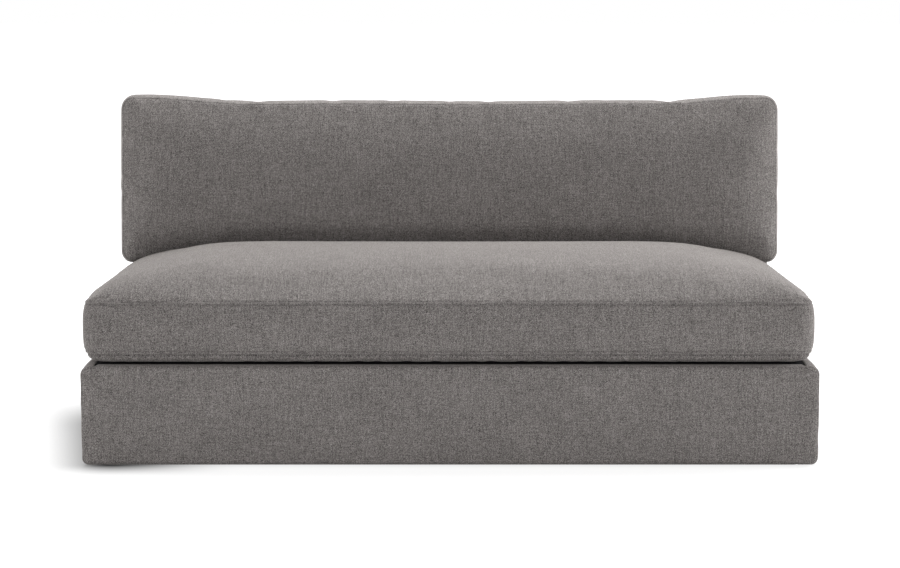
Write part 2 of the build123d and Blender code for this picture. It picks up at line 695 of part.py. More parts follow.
def eared_outline(half, foot, top, corner):
    """Rounded rectangle whose top edge dips in one long arc from its ends to its middle."""
    high = top + BACK_EAR
    knee = corner * (1 - math.sqrt(0.5))  # from a square corner to the middle of its arc
    return make_face(
        [
            Line((corner - half, foot), (half - corner, foot)),
            ThreePointArc((half - corner, foot), (half - knee, foot + knee), (half, foot + corner)),
            Line((half, foot + corner), (half, high - corner)),
            ThreePointArc((half, high - corner), (half - knee, high - knee), (half - corner, high)),
            ThreePointArc((half - corner, high), (0, top), (corner - half, high)),
            ThreePointArc((corner - half, high), (knee - half, high - knee), (-half, high - corner)),
            Line((-half, high - corner), (-half, foot + corner)),
            ThreePointArc((-half, foot + corner), (knee - half, foot + knee), (corner - half, foot)),
        ]
    )


def back_cushion_form(inset):
    """The back cushion drawn in by an inset, flat at its rear and where it stands on the seat."""
    seam_shift = 0.4 * inset

    def outline(shrink, level):
        draw = inset + shrink
        half, top = BACK_PANEL_WIDTH / 2 - draw, BACK_PANEL_HEIGHT - draw
        corner = BACK_CORNER - inset + (BACK_CORNER_SOFTENING if shrink > 0 else -1) * shrink
        return Pos(0, 0, level) * eared_outline(half, draw, top, min(corner, CORNER_SHARE * (top - draw)))

    low, high = BACK_REAR_CROWN + seam_shift, BACK_FRONT_SEAM - seam_shift
    form = boxing(outline, low, high, BACK_BULGE)
    form = form + crowned(outline, high, BACK_FRONT - inset, BACK_CROWN_RUN, (0.08, 0.25, 0.5, 0.8))
    form = form + crowned(outline, low, inset, BACK_REAR_RUN, (0.2, 0.5, 1.0))
    form = BACK_PLANE * form
    foot = BACK_REST + CLEARANCE + inset
    return form & block((-WIDTH, WIDTH), (-DEPTH, DEPTH), (foot, 2 * BACK_TOP))


# ---- zips: along X, outwards along Z, with the cover's outer face at level 0 ----
TAPE_LEVEL = -FABRIC - ZIP_SINK - ZIP_TAPE / 2
PLATE_OUT = ZIP_BEAD / 2 + SLIDER_PLAY


def zip_tapes():
    """Two tapes with a coil on the near edge of each and a slot between."""
    tapes = []
    length = ZIP_LENGTH / 2 + ZIP_TAPE_END
    for side in (-1, 1):
        tape_y = sorted((side * ZIP_SLOT / 2, side * ZIP_TAPE_WIDTH / 2))
        coil_y = sorted((side * ZIP_SLOT / 2, side * (ZIP_SLOT / 2 + ZIP_BEAD_WIDTH)))
        tape_z = (TAPE_LEVEL - ZIP_TAPE / 2, TAPE_LEVEL + ZIP_TAPE / 2)
        coil_z = (TAPE_LEVEL - ZIP_BEAD / 2, TAPE_LEVEL + ZIP_BEAD / 2)
        tape = block((-length, length), tape_y, tape_z)
        tapes.append(tape + block((-ZIP_LENGTH / 2, ZIP_LENGTH / 2), coil_y, coil_z))
    return tapes


def zip_slider():
    """Two plates joined by a neck that runs in the slot, at the left end of the zip."""
    start = -ZIP_LENGTH / 2 + SLIDER_END
    span = (start, start + SLIDER_LENGTH)
    half = SLIDER_WIDTH / 2
    outer = block(span, (-half, half), (TAPE_LEVEL + PLATE_OUT, TAPE_LEVEL + PLATE_OUT + SLIDER_PLATE))
    inner = block(span, (-half, half), (TAPE_LEVEL - PLATE_OUT - SLIDER_PLATE, TAPE_LEVEL - PLATE_OUT))
    neck = block(span, (-SLIDER_NECK / 2, SLIDER_NECK / 2), (TAPE_LEVEL - PLATE_OUT, TAPE_LEVEL + PLATE_OUT))
    return outer + neck + inner


def zip_mouth():
    """Slot through the cover."""
    return block((-ZIP_LENGTH / 2, ZIP_LENGTH / 2), (-ZIP_MOUTH / 2, ZIP_MOUTH / 2), (TAPE_LEVEL, REACH))


def zip_channel():
    """Room in the wrap for the tapes and for the slider over its whole travel."""
    length = ZIP_LENGTH / 2 + ZIP_TAPE_END + SLIDER_PLAY
    half = ZIP_TAPE_WIDTH / 2 + SLIDER_PLAY
    tapes = block((-length, length), (-half, half), (TAPE_LEVEL - ZIP_TAPE / 2 - SLIDER_PLAY, REACH))
    depth = TAPE_LEVEL - PLATE_OUT - SLIDER_PLATE - SLIDER_PLAY
    plate_half = SLIDER_WIDTH / 2 + SLIDER_PLAY
    return tapes + block((-length, length), (-plate_half, plate_half), (depth, REACH))


SEAT_ZIP = Plane(
    origin=(0, SEAT_REAR, (SEAT_LOW_SEAM + SEAT_TOP_SEAM) / 2), x_dir=(1, 0, 0), z_dir=(0, 1, 0)
)
BACK_ZIP = Plane(
    origin=(0, BACK_ORIGIN_Y - BACK_ZIP_SETBACK, BACK_REST + CLEARANCE), x_dir=(1, 0, 0), z_dir=(0, 0, -1)
)


def cushion(name, form, wrap, plane):
    """Cover, wrap, core and zip of one cushion, from its form at four insets."""
    cover = form(0) - form(FABRIC)
    cover = cover - plane * zip_mouth()
    filling = form(FABRIC + LAYER)
    filling = filling - plane * zip_channel()
    return {
        name + "_cover": cover,
        name + "_wrap": filling - form(FABRIC + wrap),
        name + "_core": form(FABRIC + wrap + LAYER),
        name + "_zip": [plane * tape for tape in zip_tapes()],
        name + "_zip_slider": plane * zip_slider(),
    }


# ---- all the pieces ----
def pieces():
    rail = side_rail()
    post = back_post()
    found = {
        "base_front_rail": long_rail(RAIL_X, -1),
        "base_rear_rail": long_rail(INNER_X, 1),
        "base_left_rail": mirror(rail, about=Plane.YZ),
        "base_right_rail": rail,
        "base_left_stretcher": stretcher(-STRETCHER_X),
        "base_right_stretcher": stretcher(STRETCHER_X),
        "corner_blocks": corner_blocks(),
        "back_left_post": mirror(post, about=Plane.YZ),
        "back_right_post": post,
        "splice_plates": splice_plates(),
        "frame_bolts": frame_bolts(),
        "frame_washers": frame_washers(),
        "frame_nuts": frame_nuts(),
        "seat_springs": seat_springs(),
        "spring_clips": spring_clips(),
        "clip_nails": clip_nails(),
        "spring_tie_wires": tie_wires(),
        "back_webbing_across": webbing_across(),
        "back_webbing_upright": webbing_upright(),
        "outside_back_board": outside_back_board(),
        "spring_insulator": deck_layer(INSULATOR_FOOT, INSULATOR_FOOT + INSULATOR),
        "deck_foam": deck_layer(INSULATOR_FOOT + INSULATOR, BASE_TOP - FABRIC),
        "dust_cover": dust_cover(),
        "glides": glides(),
        "glide_nails": glide_nails(),
    }
    found.update(back_boards())
    found.update(base_pads())
    found.update(base_covers())
    found.update(back_pads())
    found.update(back_covers())
    found.update(cushion("seat_cushion", seat_form, SEAT_WRAP, SEAT_ZIP))
    found.update(cushion("back_cushion", back_cushion_form, BACK_WRAP, BACK_ZIP))
    return found


def solids_of(shape):
    """The solids of a piece, which is one shape or a list of them."""
    shapes = shape if isinstance(shape, list) else [shape]
    return [solid for each in shapes for solid in each.solids()]


os.makedirs("parts", exist_ok=True)
for name, shape in pieces().items():
    solids = solids_of(shape)
    export_step(Compound(children=solids) if len(solids) > 1 else solids[0], f"parts/{name}.step")
print("slider travel", SLIDER_TRAVEL)
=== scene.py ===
"""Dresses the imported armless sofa: covers, stuffed cushions, foam, timber, steel, stage and camera."""

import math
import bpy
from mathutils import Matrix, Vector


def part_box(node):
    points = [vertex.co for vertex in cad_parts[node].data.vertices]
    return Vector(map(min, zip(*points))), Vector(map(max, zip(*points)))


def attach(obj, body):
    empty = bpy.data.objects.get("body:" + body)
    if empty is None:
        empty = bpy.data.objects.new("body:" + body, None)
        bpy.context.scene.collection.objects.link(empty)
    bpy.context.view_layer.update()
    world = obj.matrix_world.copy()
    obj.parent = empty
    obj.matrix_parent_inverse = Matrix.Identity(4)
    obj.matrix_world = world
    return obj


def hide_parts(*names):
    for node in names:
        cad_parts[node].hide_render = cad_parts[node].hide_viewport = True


bl_info = {
    "name": "Armless Sofa",
    "version": (1, 0, 0),
    "blender": (4, 5, 0),
    "location": "3D View > Sidebar > Sofa",
    "description": "Covers, cushions, finishes, light and camera of an armless bench-seat sofa",
    "category": "Add Mesh",
}

import bpy
import numpy as np
from bpy.props import FloatProperty, PointerProperty, StringProperty
from mathutils import Vector

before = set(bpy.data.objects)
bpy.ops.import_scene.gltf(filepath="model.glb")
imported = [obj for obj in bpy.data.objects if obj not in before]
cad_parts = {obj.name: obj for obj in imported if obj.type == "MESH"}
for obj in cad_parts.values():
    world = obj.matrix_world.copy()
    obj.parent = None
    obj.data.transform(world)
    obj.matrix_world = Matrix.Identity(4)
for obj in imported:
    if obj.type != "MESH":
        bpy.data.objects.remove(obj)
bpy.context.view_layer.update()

MM = 0.001
WELD = 2e-6  # points of a grid that are closer than this become one
LEAN = math.radians(6.0)  # of the inside back and of the cushion that rests on it
FABRIC = 2.0 * MM
WEAVE_MAP = "weave"
RING_SEGMENTS = 9  # of rounded_rings: half a low side, then corner and side in turn, and the other half
LINEN = ("linen weave", "grey_linen")  # material and slot of the outer covers
ALONG_X = np.array([1.0, 0, 0])
SEAM_SHADE_WIDTH = 1.6 * MM  # width of the painted shade line at a plain seam
SEAM_DEPTH, STITCH_AT = 2.2 * MM, -8.0 * MM  # a top-stitched seam's groove, and its stitches' place
STRAP = 50 * MM
SETTLE_FRAMES = 20
CLOTH = {
    "quality": 5,
    "mass": 0.3,
    "tension_stiffness": 12,
    "compression_stiffness": 12,
    "shear_stiffness": 4,
    "bending_stiffness": 4,
    "use_pressure": True,
    "uniform_pressure_force": 4,
    "shrink_min": -0.006,
    "vertex_group_mass": "seams",
}

SEAT_LOW, SEAT_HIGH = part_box("seat_cushion_cover")
BACK_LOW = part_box("back_cushion_cover")[0]
BASE_LOW, BASE_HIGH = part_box("base_right_cover")
HALF_WIDTH, HALF_DEPTH = BASE_HIGH.x, -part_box("base_front_cover")[0].y
BASE_FOOT, BASE_TOP = BASE_LOW.z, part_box("deck_cover")[1].z
BACK_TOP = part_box("back_right_cover")[1].z
BACK_FOOT_Y = 370 * MM  # inside back where it leaves the deck
BACK_ORIGIN_Y = 386.95 * MM  # the cushion's rear plane at the front seam's foot, on the leaning inside back
BACK_ORIGIN_Z = 420.14 * MM


# ---- sizes and colours that a user would change ----
def length_of(default, name, words):
    """A length property of the panel, in metres."""
    return FloatProperty(name=name, description=words, default=default, min=0.0, unit="LENGTH", precision=4)


def colour_of(default, name, words):
    """A colour property of the panel, as an sRGB hex value."""
    return StringProperty(name=name, description=words, default=default)


class SeatCushionSizes(bpy.types.PropertyGroup):
    """Sizes of the bench seat cushion."""

    width: length_of(SEAT_HIGH.x - SEAT_LOW.x - 5 * MM, "Width", "Side to side where the boxing is fullest")
    low_seam: length_of(279 * MM, "Low seam", "Height of the lower seam above the floor")
    top_seam: length_of(412 * MM, "Top seam", "Height of the upper seam above the floor")
    crown: length_of(103 * MM, "Crown", "Crest above the upper seam, before it fills out")
    crown_run: length_of(150 * MM, "Crown run", "Rate of the crown: 0.66 of its height is reached here")
    corner: length_of(33 * MM, "Corner", "Radius of the seams' corners in plan")
    bulge: length_of(11 * MM, "Bulge", "Boxing beyond its seams")
    shoulder: length_of(8 * MM, "Shoulder", "How much lower the upper panel is 150 mm from its sides")
    belly: length_of(8 * MM, "Belly", "How much the sides stand out between the corners")
    hollow: length_of(427 * MM, "Hollow", "Height of the seat under the back cushion")
    swell: length_of(7 * MM, "Swell", "Most that the stuffed cover moves as it fills out")


class BackCushionSizes(bpy.types.PropertyGroup):
    """Sizes of the back cushion, along its own lean."""

    width: length_of(1818 * MM, "Panel width", "Front panel from seam to seam")
    height: length_of(438 * MM, "Panel height", "Front panel from seam to seam at mid width")
    boxing: length_of(165 * MM, "Boxing", "Width of the side band")
    crown: length_of(66 * MM, "Crown", "Front panel ahead of its seam, before it fills out")
    crown_run: length_of(125 * MM, "Crown run", "Rate of the crown: 0.66 of its height is reached here")
    rear_crown: length_of(25 * MM, "Rear crown", "Rear panel behind its seam")
    ear: length_of(17 * MM, "Ears", "Rise of the upper edge towards its ends")
    corner: length_of(27 * MM, "Corner", "Radius of the panel's corners")
    bulge: length_of(12 * MM, "Bulge", "Boxing beyond its seams")
    swell: length_of(7 * MM, "Swell", "Most that the stuffed cover moves as it fills out")


class CoverSizes(bpy.types.PropertyGroup):
    """Sizes of the covers of the base and the back frame."""

    face_roll: length_of(10 * MM, "Face roll", "Radius round the front and rear faces")
    face_seam: length_of(6.5 * MM, "Face seam", "Seam of the front panel inside the outline")
    top_edge: length_of(24 * MM, "Top edge", "Radius of the base's upper side edges")
    bottom_edge: length_of(17 * MM, "Bottom edge", "Radius of the base's lower side edges")
    top_return: length_of(34 * MM, "Top return", "Side cover turned in on the deck")
    underfold: length_of(50 * MM, "Underfold", "Covers turned in under the rails")
    back_roll: length_of(12 * MM, "Back roll", "Radius of the back frame's edges")
    back_seam: length_of(14 * MM, "Back seam", "Seams of the back frame inside its outline")
    slump: length_of(2.6 * MM, "Slump", "How far the deck's front edge lies below the deck")
    hang: length_of(2.6 * MM, "Hang", "How far the front's lower edge hangs below the rail")
    seam_rise: length_of(4 * MM, "Seam rise", "Front panel's upper seam above its place on the roll")


class SofaColours(bpy.types.PropertyGroup):
    """Colours as sRGB hex values."""

    linen: colour_of("#7B7674", "Linen", "Mean colour of the warm grey weave")
    linen_dark: colour_of("#464241", "Linen, dark yarn", "Darkest slubs of the weave")
    linen_light: colour_of("#ACA7A4", "Linen, light yarn", "Lightest slubs of the weave")
    decking: colour_of("#232224", "Decking", "Plain black cloth on the deck under the seat cushion")
    dust: colour_of("#2B2B2D", "Dust cloth", "Cloth under the sofa")


class SofaSettings(bpy.types.PropertyGroup):
    """All settings of the sofa."""

    seat: PointerProperty(type=SeatCushionSizes)
    back: PointerProperty(type=BackCushionSizes)
    covers: PointerProperty(type=CoverSizes)
    colours: PointerProperty(type=SofaColours)


# ---- arrays ----
def blend_step(value, start, end):
    """0 before start, 1 after end, and t*t*(3-2*t) between them."""
    t = np.clip((value - start) / (end - start), 0, 1)
    return t * t * (3 - 2 * t)


def soft_min(first, second, round_off):
    """The lower of two heights, rounded where they cross: a quadratic fillet of the given size."""
    h = np.clip(0.5 + 0.5 * (second - first) / round_off, 0, 1)
    return second + (first - second) * h - round_off * h * (1 - h)


def wander(first, second, wave, seed, count=12):
    """Smooth irregular field of two lengths: sine waves of about one wavelength, at set turns and phases."""
    draw = np.random.default_rng(seed)
    turns, phases = draw.uniform(0, 2 * math.pi, (2, count))
    rates = 2 * math.pi / wave * draw.uniform(0.55, 1.6, count)
    total = sum(
        np.sin(rate * (first * math.cos(turn) + second * math.sin(turn)) + phase)
        for turn, phase, rate in zip(turns, phases, rates)
    )
    return total / math.sqrt(count / 2)


def steps_between(start, end, fine_at, fine, growth, coarse):
    """Row positions from start to end: fine steps at given places that grow between them, up to coarse."""
    places = [start]
    while places[-1] < end:
        off = min((abs(places[-1] - x) for x in fine_at), default=end - start)
        places.append(places[-1] + min(coarse, fine + growth * off))
    places = np.array(places)
    places = start + (places - start) * (end - start) / (places[-1] - start)
    for x in fine_at:
        places[np.abs(places - x).argmin()] = x
    return places


def rounded_rings(half, low, high, corner_low, corner_high, counts):
    """Rows of points round rectangles with rounded corners, one row for each set of sizes.

    A row starts at the middle of the low side and runs counter-clockwise. Straight sides are divided
    evenly and corners are quarter circles at even angles, so neighbouring rows match point for point.
    counts says how many points a low or high side has, an upright side and a corner.
    """
    across, up, turn = counts
    half, low, high, corner_low, corner_high = (
        np.atleast_1d(x)[:, None] for x in np.broadcast_arrays(half, low, high, corner_low, corner_high)
    )
    near, wide, tall, bend = (np.arange(n)[None, :] / n for n in (across // 2, across, up, turn))
    flat_low, flat_high = half - corner_low, half - corner_high
    foot, top = low + corner_low, high - corner_high

    def corner(centre_a, centre_b, radius, start):
        angle = start + bend * math.pi / 2
        return centre_a + radius * np.cos(angle), centre_b + radius * np.sin(angle)

    segments = [
        (flat_low * near, low + 0 * near),
        corner(flat_low, foot, corner_low, -math.pi / 2),
        (half + 0 * tall, foot + (top - foot) * tall),
        corner(flat_high, top, corner_high, 0),
        (flat_high * (1 - 2 * wide), high + 0 * wide),
        corner(-flat_high, top, corner_high, math.pi / 2),
        (-half + 0 * tall, top - (top - foot) * tall),
        corner(-flat_low, foot, corner_low, math.pi),
        (-flat_low * (1 - near), low + 0 * near),
    ]
    return np.concatenate([a for a, _ in segments], 1), np.concatenate([b for _, b in segments], 1)


def ring_places(counts):
    """Position of each ring point as segment number plus share, which no count of points changes."""
    across, up, turn = counts
    sizes = [across // 2, turn, up, turn, across, turn, up, turn, across // 2]
    return np.concatenate([i + np.arange(n) / n for i, n in enumerate(sizes)])


def bell(off, width, power=2):
    """exp(-(off/width)^power): 1 on a line and fading away from it."""
    return np.exp(-((off / width) ** power))


def run_along(points):
    """Distance along a line of points from its first one to each of them."""
    return np.concatenate([[0], np.cumsum(np.linalg.norm(np.diff(points, axis=0), axis=1))])


def along_ring(points):
    """Distance round a ring of points to each of them and back to the first."""
    return run_along(np.concatenate([points, points[:1]]))


def outward(points, closed):
    """Unit normals of a grid of points: the cross product of its steps along a row and from row to row."""
    if closed:
        along = np.roll(points, -1, 1) - np.roll(points, 1, 1)
    else:
        along = np.gradient(points, axis=1)
    normal = np.cross(along, np.gradient(points, axis=0))
    return normal / np.maximum(np.linalg.norm(normal, axis=2, keepdims=True), 1e-12)


def finer(field, rows, places, fine_rows, fine_places):
    """A coarse closed grid's field on a finer one: linear both ways, then smoothed once round the ring."""
    by_row = np.stack([np.interp(fine_rows, rows, unit) for unit in np.eye(len(rows))], 1)
    closed = np.append(places, RING_SEGMENTS)
    units = np.concatenate([np.eye(len(places)), np.eye(len(places))[:, :1]], 1)
    by_place = np.stack([np.interp(fine_places, closed, unit) for unit in units], 1)
    grown = np.einsum("rc,cpk,fp->rfk", by_row, field, by_place, optimize=True)
    return (np.roll(grown, 1, 1) + 2 * grown + np.roll(grown, -1, 1)) / 4


# ---- meshes ----
def grid_piece(name, points, weave, closed=False, weave_below=None, painted_seam_shade=None):
    """A mesh object from a grid of points, with rows joined to rows.

    Points closer than WELD become one, so a row that shrinks to a line closes the form. The weave map
    holds lengths in metres; weave_below is used by the faces that end at a row, so the map may jump there.
    """
    rows, cols = points.shape[:2]
    flat = points.reshape(-1, 3)
    cells = np.round(flat / WELD).astype(np.int64)
    _, first, back = np.unique(cells, axis=0, return_index=True, return_inverse=True)
    ids = back.reshape(rows, cols)
    grid = np.concatenate([ids, ids[:, :1]], 1) if closed else ids
    below = weave if weave_below is None else weave_below
    corners = np.stack([grid[:-1, :-1], grid[:-1, 1:], grid[1:, 1:], grid[1:, :-1]], -1).reshape(-1, 4)
    maps = [weave[:-1, :-1], weave[:-1, 1:], below[1:, 1:], below[1:, :-1]]
    maps = np.stack(maps, 2).reshape(-1, 4, 2)
    keep = corners != np.roll(corners, -1, 1)
    whole = keep.sum(1) > 2
    corners, maps, keep = corners[whole], maps[whole], keep[whole]
    sizes = keep.sum(1)
    mesh = bpy.data.meshes.new(name)
    mesh.vertices.add(len(first))
    mesh.vertices.foreach_set("co", flat[first].astype(np.float32).ravel())
    mesh.loops.add(int(sizes.sum()))
    mesh.loops.foreach_set("vertex_index", corners[keep].astype(np.int32))
    mesh.polygons.add(len(sizes))
    mesh.polygons.foreach_set("loop_start", np.append(0, np.cumsum(sizes)[:-1]).astype(np.int32))
    mesh.polygons.foreach_set("use_smooth", np.ones(len(sizes), bool))
    mesh.update(calc_edges=True)
    mesh.uv_layers.new(name=WEAVE_MAP).data.foreach_set("uv", maps[keep].astype(np.float32).ravel())
    # painted shade along the seams, kept as a point attribute that darkens the linen's colour
    if painted_seam_shade is not None:
        shade = np.broadcast_to(painted_seam_shade, (rows, cols)).reshape(-1)[first].astype(np.float32)
        mesh.attributes.new("painted_seam_shade", "FLOAT", "POINT").data.foreach_set("value", shade)
    mesh.validate()
    piece = bpy.data.objects.new(name, mesh)
    bpy.context.scene.collection.objects.link(piece)
    return piece, ids


def thickened(piece, thickness=FABRIC):
    """Gives a skin its thickness, inwards."""
    wall = piece.modifiers.new("Thickness", "SOLIDIFY")
    wall.thickness = thickness
    wall.offset = -1
    wall.use_even_offset = True
    return piece


def plain_map(rows, cols):
    """The weave map of a closed grid whose material doesn't read it."""
    return np.zeros((rows, cols + 1, 2))


def settled(points, held, cap):
    """Lets a closed cover fill out as cloth with a little pressure inside, held where held is 1.

    The cloth runs for SETTLE_FRAMES frames without gravity. The result is each grid point's move, in
    which a move of m becomes cap*tanh(m/cap), so no point goes further than cap.
    """
    cover, ids = grid_piece("settling", points, plain_map(*points.shape[:2]), closed=True)
    mesh, scene = cover.data, bpy.context.scene
    weights = np.zeros(len(mesh.vertices))
    np.maximum.at(weights, ids.ravel(), np.broadcast_to(held, ids.shape).ravel())
    group = cover.vertex_groups.new(name="seams")
    for level in np.unique(np.round(weights, 2)):
        members = np.nonzero(np.round(weights, 2) == level)[0].tolist()
        group.add(members, float(level), "REPLACE")
    modifier = cover.modifiers.new("Cloth", "CLOTH")
    modifier.collision_settings.use_collision = False
    cloth = modifier.settings
    for key, value in CLOTH.items():
        setattr(cloth, key, value)
    cloth.effector_weights.gravity = 0
    rest = np.empty(len(mesh.vertices) * 3, np.float32)
    mesh.vertices.foreach_get("co", rest)
    for frame in range(1, SETTLE_FRAMES + 1):
        scene.frame_set(frame)
    ended = np.empty_like(rest)
    cover.evaluated_get(bpy.context.evaluated_depsgraph_get()).data.vertices.foreach_get("co", ended)
    moves = (ended - rest).reshape(-1, 3).astype(float)
    bpy.data.objects.remove(cover)
    bpy.data.meshes.remove(mesh)
    scene.frame_set(1)
    size = np.maximum(np.linalg.norm(moves, axis=1, keepdims=True), 1e-12)
    moves *= cap * np.tanh(size / cap) / size
    return moves[ids]


# ---- materials ----
def linear(code):
    """sRGB hex value to linear red, green, blue and alpha."""
    parts = [int(code[i : i + 2], 16) / 255 for i in (1, 3, 5)]
    return [x / 12.92 if x <= 0.04045 else ((x + 0.055) / 1.055) ** 2.4 for x in parts] + [1.0]


def add(tree, kind, inputs=None, **settings):
    """Adds a shader node with its settings, its input values and its links.

    A socket given as a value is linked, and of a node given as a value the first output is.
    """
    node = tree.nodes.new(f"ShaderNode{kind}")
    for name, value in settings.items():
        setattr(node, name, value)
    for key, value in (inputs or {}).items():
        if isinstance(value, bpy.types.Node):
            value = value.outputs[0]
        if isinstance(value, bpy.types.NodeSocket):
            tree.links.new(value, node.inputs[key])
        else:
            node.inputs[key].default_value = value
    return node


def new_material(name, **values):
    """An empty material with a Principled shader, whose sockets get the values given."""
    material = bpy.data.materials.new(name)
    material.use_nodes = True
    tree = material.node_tree
    shader = tree.nodes["Principled BSDF"]
    for key, value in values.items():
        shader.inputs[key.replace("_", " ")].default_value = value
    return material, tree, shader


def coloured(tree, colour, height, strength, distance, shade=None):
    """Gives the Principled shader a colour, times a shade where one is given, and a bump from a height."""
    shader = tree.nodes["Principled BSDF"]
    if shade is not None:
        inputs = {0: 1.0, 6: colour, 7: shade}
        colour = add(tree, "Mix", inputs, data_type="RGBA", blend_type="MULTIPLY").outputs[2]
    bump = add(tree, "Bump", {"Height": height, "Strength": strength, "Distance": distance})
    tree.links.new(colour, shader.inputs["Base Color"])
    tree.links.new(bump.outputs["Normal"], shader.inputs["Normal"])


def yarn_dashes(tree, place, across, along, thick, length):
    """A value from 0 to 1 for each dash of yarn: white noise of its column and its place in the column.

    Columns are thick wide. Dashes are length long and start 0.618 of a dash later in each next column.
    """
    split = add(tree, "SeparateXYZ", {0: place}).outputs
    column = add(tree, "Math", {0: split[across], 1: 1 / thick}, operation="MULTIPLY")
    column = add(tree, "Math", {0: column}, operation="FLOOR")
    start = add(tree, "Math", {0: column, 1: 0.618}, operation="MULTIPLY")
    dash = add(tree, "Math", {0: split[along], 1: 1 / length, 2: start}, operation="MULTIPLY_ADD")
    dash = add(tree, "Math", {0: dash}, operation="FLOOR")
    cell = add(tree, "CombineXYZ", {0: column, 1: dash})
    return add(tree, "TexWhiteNoise", {"Vector": cell}, noise_dimensions="2D")


def woven_linen(name, colours, thread=1.0 * MM, slub=26 * MM):
    """Linen-look polyester weave: plain weave of slubby yarns, matte, with a nap that lightens at its edges.

    Warp and weft are dashes of yarn of about slub in length, and knots as wide as the thread lie between
    them. The thread is drawn twice as coarse as it is, so that its knots still show as grain. Clouds of
    190 by 120 mm vary the tone by about 5 %, and painted shade from an attribute darkens the seams by up
    to half.
    """
    material, tree, shader = new_material(name, Roughness=0.92, Specular_IOR_Level=0.22, Sheen_Weight=0.7)
    shader.inputs["Sheen Roughness"].default_value = 0.5
    shader.inputs["Sheen Tint"].default_value = linear(colours.linen_light)
    place = add(tree, "UVMap", uv_map=WEAVE_MAP)
    weave = 0.0
    yarns = [("X", "Y", slub, 0.17), ("Y", "X", slub, 0.12), ("X", "Y", thread, 0.71)]
    for across, along, length, share in yarns:
        dashes = yarn_dashes(tree, place, across, along, thread, length)
        weave = add(tree, "Math", {0: dashes, 1: share, 2: weave}, operation="MULTIPLY_ADD")
    tone = add(tree, "MapRange", {"Value": weave, "From Min": 0.2, "From Max": 0.8})
    ramp = add(tree, "ValToRGB", {"Fac": tone})
    stops = ramp.color_ramp.elements
    stops[0].color, stops[1].color = linear(colours.linen_dark), linear(colours.linen_light)
    stops.new(0.5).color = linear(colours.linen)
    wide = add(tree, "Mapping", {"Vector": place, "Scale": (1 / 0.19, 1 / 0.12, 1)})
    cloud = add(tree, "TexNoise", {"Vector": wide, "Scale": 1.0, "Detail": 2.0})
    limits = {"From Min": 0.3, "From Max": 0.7, "To Min": 0.94, "To Max": 1.05}
    cloud = add(tree, "MapRange", {"Value": cloud, **limits})
    # painted shade of the seams: the attribute takes up to half off the colour
    painted_seam_shade = add(tree, "Attribute", attribute_name="painted_seam_shade").outputs["Fac"]
    dark = add(tree, "Math", {0: painted_seam_shade, 1: -0.5, 2: 1.0}, operation="MULTIPLY_ADD")
    level = add(tree, "Math", {0: cloud, 1: dark}, operation="MULTIPLY")
    coloured(tree, ramp.outputs["Color"], weave, 0.15, 0.5 * MM, level.outputs[0])
    return material


def plain_cloth(name, code, thread, **values):
    """Plain woven or bonded cloth of one colour: even noise at the thread's size in colour and bump."""
    material, tree, _ = new_material(name, Roughness=0.95, Specular_IOR_Level=0.2, **values)
    place = add(tree, "TexCoord").outputs["Object"]
    noise = add(tree, "TexNoise", {"Vector": place, "Scale": 1 / thread, "Detail": 3.0, "Roughness": 0.6})
    limits = {"From Min": 0.3, "From Max": 0.7, "To Min": 0.8, "To Max": 1.15}
    tone = add(tree, "MapRange", {"Value": noise, **limits})
    coloured(tree, linear(code), noise.outputs[0], 0.4, thread / 2, tone.outputs[0])
    return material


def striped_webbing(name, ground, stripe):
    """Elastic webbing: ribs across it every 2.6 mm and two lengthwise stripes, 13 mm from its edges."""
    material, tree, _ = new_material(name, Roughness=0.8, Specular_IOR_Level=0.3)
    split = add(tree, "SeparateXYZ", {0: add(tree, "UVMap", uv_map=WEAVE_MAP)}).outputs
    off = add(tree, "Math", {0: split["Y"], 1: 25 * MM}, operation="SUBTRACT")
    off = add(tree, "Math", {0: off}, operation="ABSOLUTE")
    on = add(tree, "Math", {0: off, 1: 12 * MM, 2: 2.2 * MM}, operation="COMPARE")
    turn = add(tree, "Math", {0: split["X"], 1: 2 * math.pi / (2.6 * MM)}, operation="MULTIPLY")
    rib = add(tree, "Math", {0: turn}, operation="SINE")
    shade = add(tree, "Math", {0: rib, 1: 0.18, 2: 0.82}, operation="MULTIPLY_ADD")
    colour = add(tree, "Mix", {0: on, 6: linear(ground), 7: linear(stripe)}, data_type="RGBA")
    coloured(tree, colour.outputs[2], rib.outputs[0], 0.5, 0.4 * MM, shade.outputs[0])
    return material


def timber(name, dark, light, along, ring):
    """Planed wood: growth rings as stretched noise along the board, with pores of 0.9 by 7 mm."""
    material, tree, _ = new_material(name, Roughness=0.6)
    place = add(tree, "TexCoord").outputs["Object"]
    noises = []
    for wide, long, inputs in (
        (ring, ring * 28, {"Detail": 5.0, "Distortion": 0.6}),
        (0.9 * MM, 7 * MM, {"Detail": 2.0}),
    ):
        scale = [1 / wide] * 3
        scale[along] = 1 / long
        grain_place = add(tree, "Mapping", {"Vector": place, "Scale": scale})
        noises.append(add(tree, "TexNoise", {"Vector": grain_place, "Scale": 1.0, **inputs}))
    grain, pore = noises
    mixed = add(tree, "Math", {0: pore, 1: 0.25, 2: grain}, operation="MULTIPLY_ADD")
    ramp = add(tree, "ValToRGB", {"Fac": mixed})
    stops = ramp.color_ramp.elements
    stops[0].position, stops[1].position = 0.42, 0.82
    stops[0].color, stops[1].color = linear(dark), linear(light)
    coloured(tree, ramp.outputs["Color"], pore.outputs[0], 0.2, 0.3 * MM)
    return material


def speckled(name, dark, light, grain, bump, roughness, metallic):
    """Two tones of one noise at the grain's size, with the same noise as bump."""
    material, tree, _ = new_material(name, Roughness=roughness, Metallic=metallic)
    place = add(tree, "TexCoord").outputs["Object"]
    noise = add(tree, "TexNoise", {"Vector": place, "Scale": 1 / grain, "Detail": 3.0})
    ramp = add(tree, "ValToRGB", {"Fac": noise})
    stops = ramp.color_ramp.elements
    stops[0].position, stops[1].position = 0.35, 0.65
    stops[0].color, stops[1].color = linear(dark), linear(light)
    coloured(tree, ramp.outputs["Color"], noise.outputs[0], 0.3, bump)
    return material


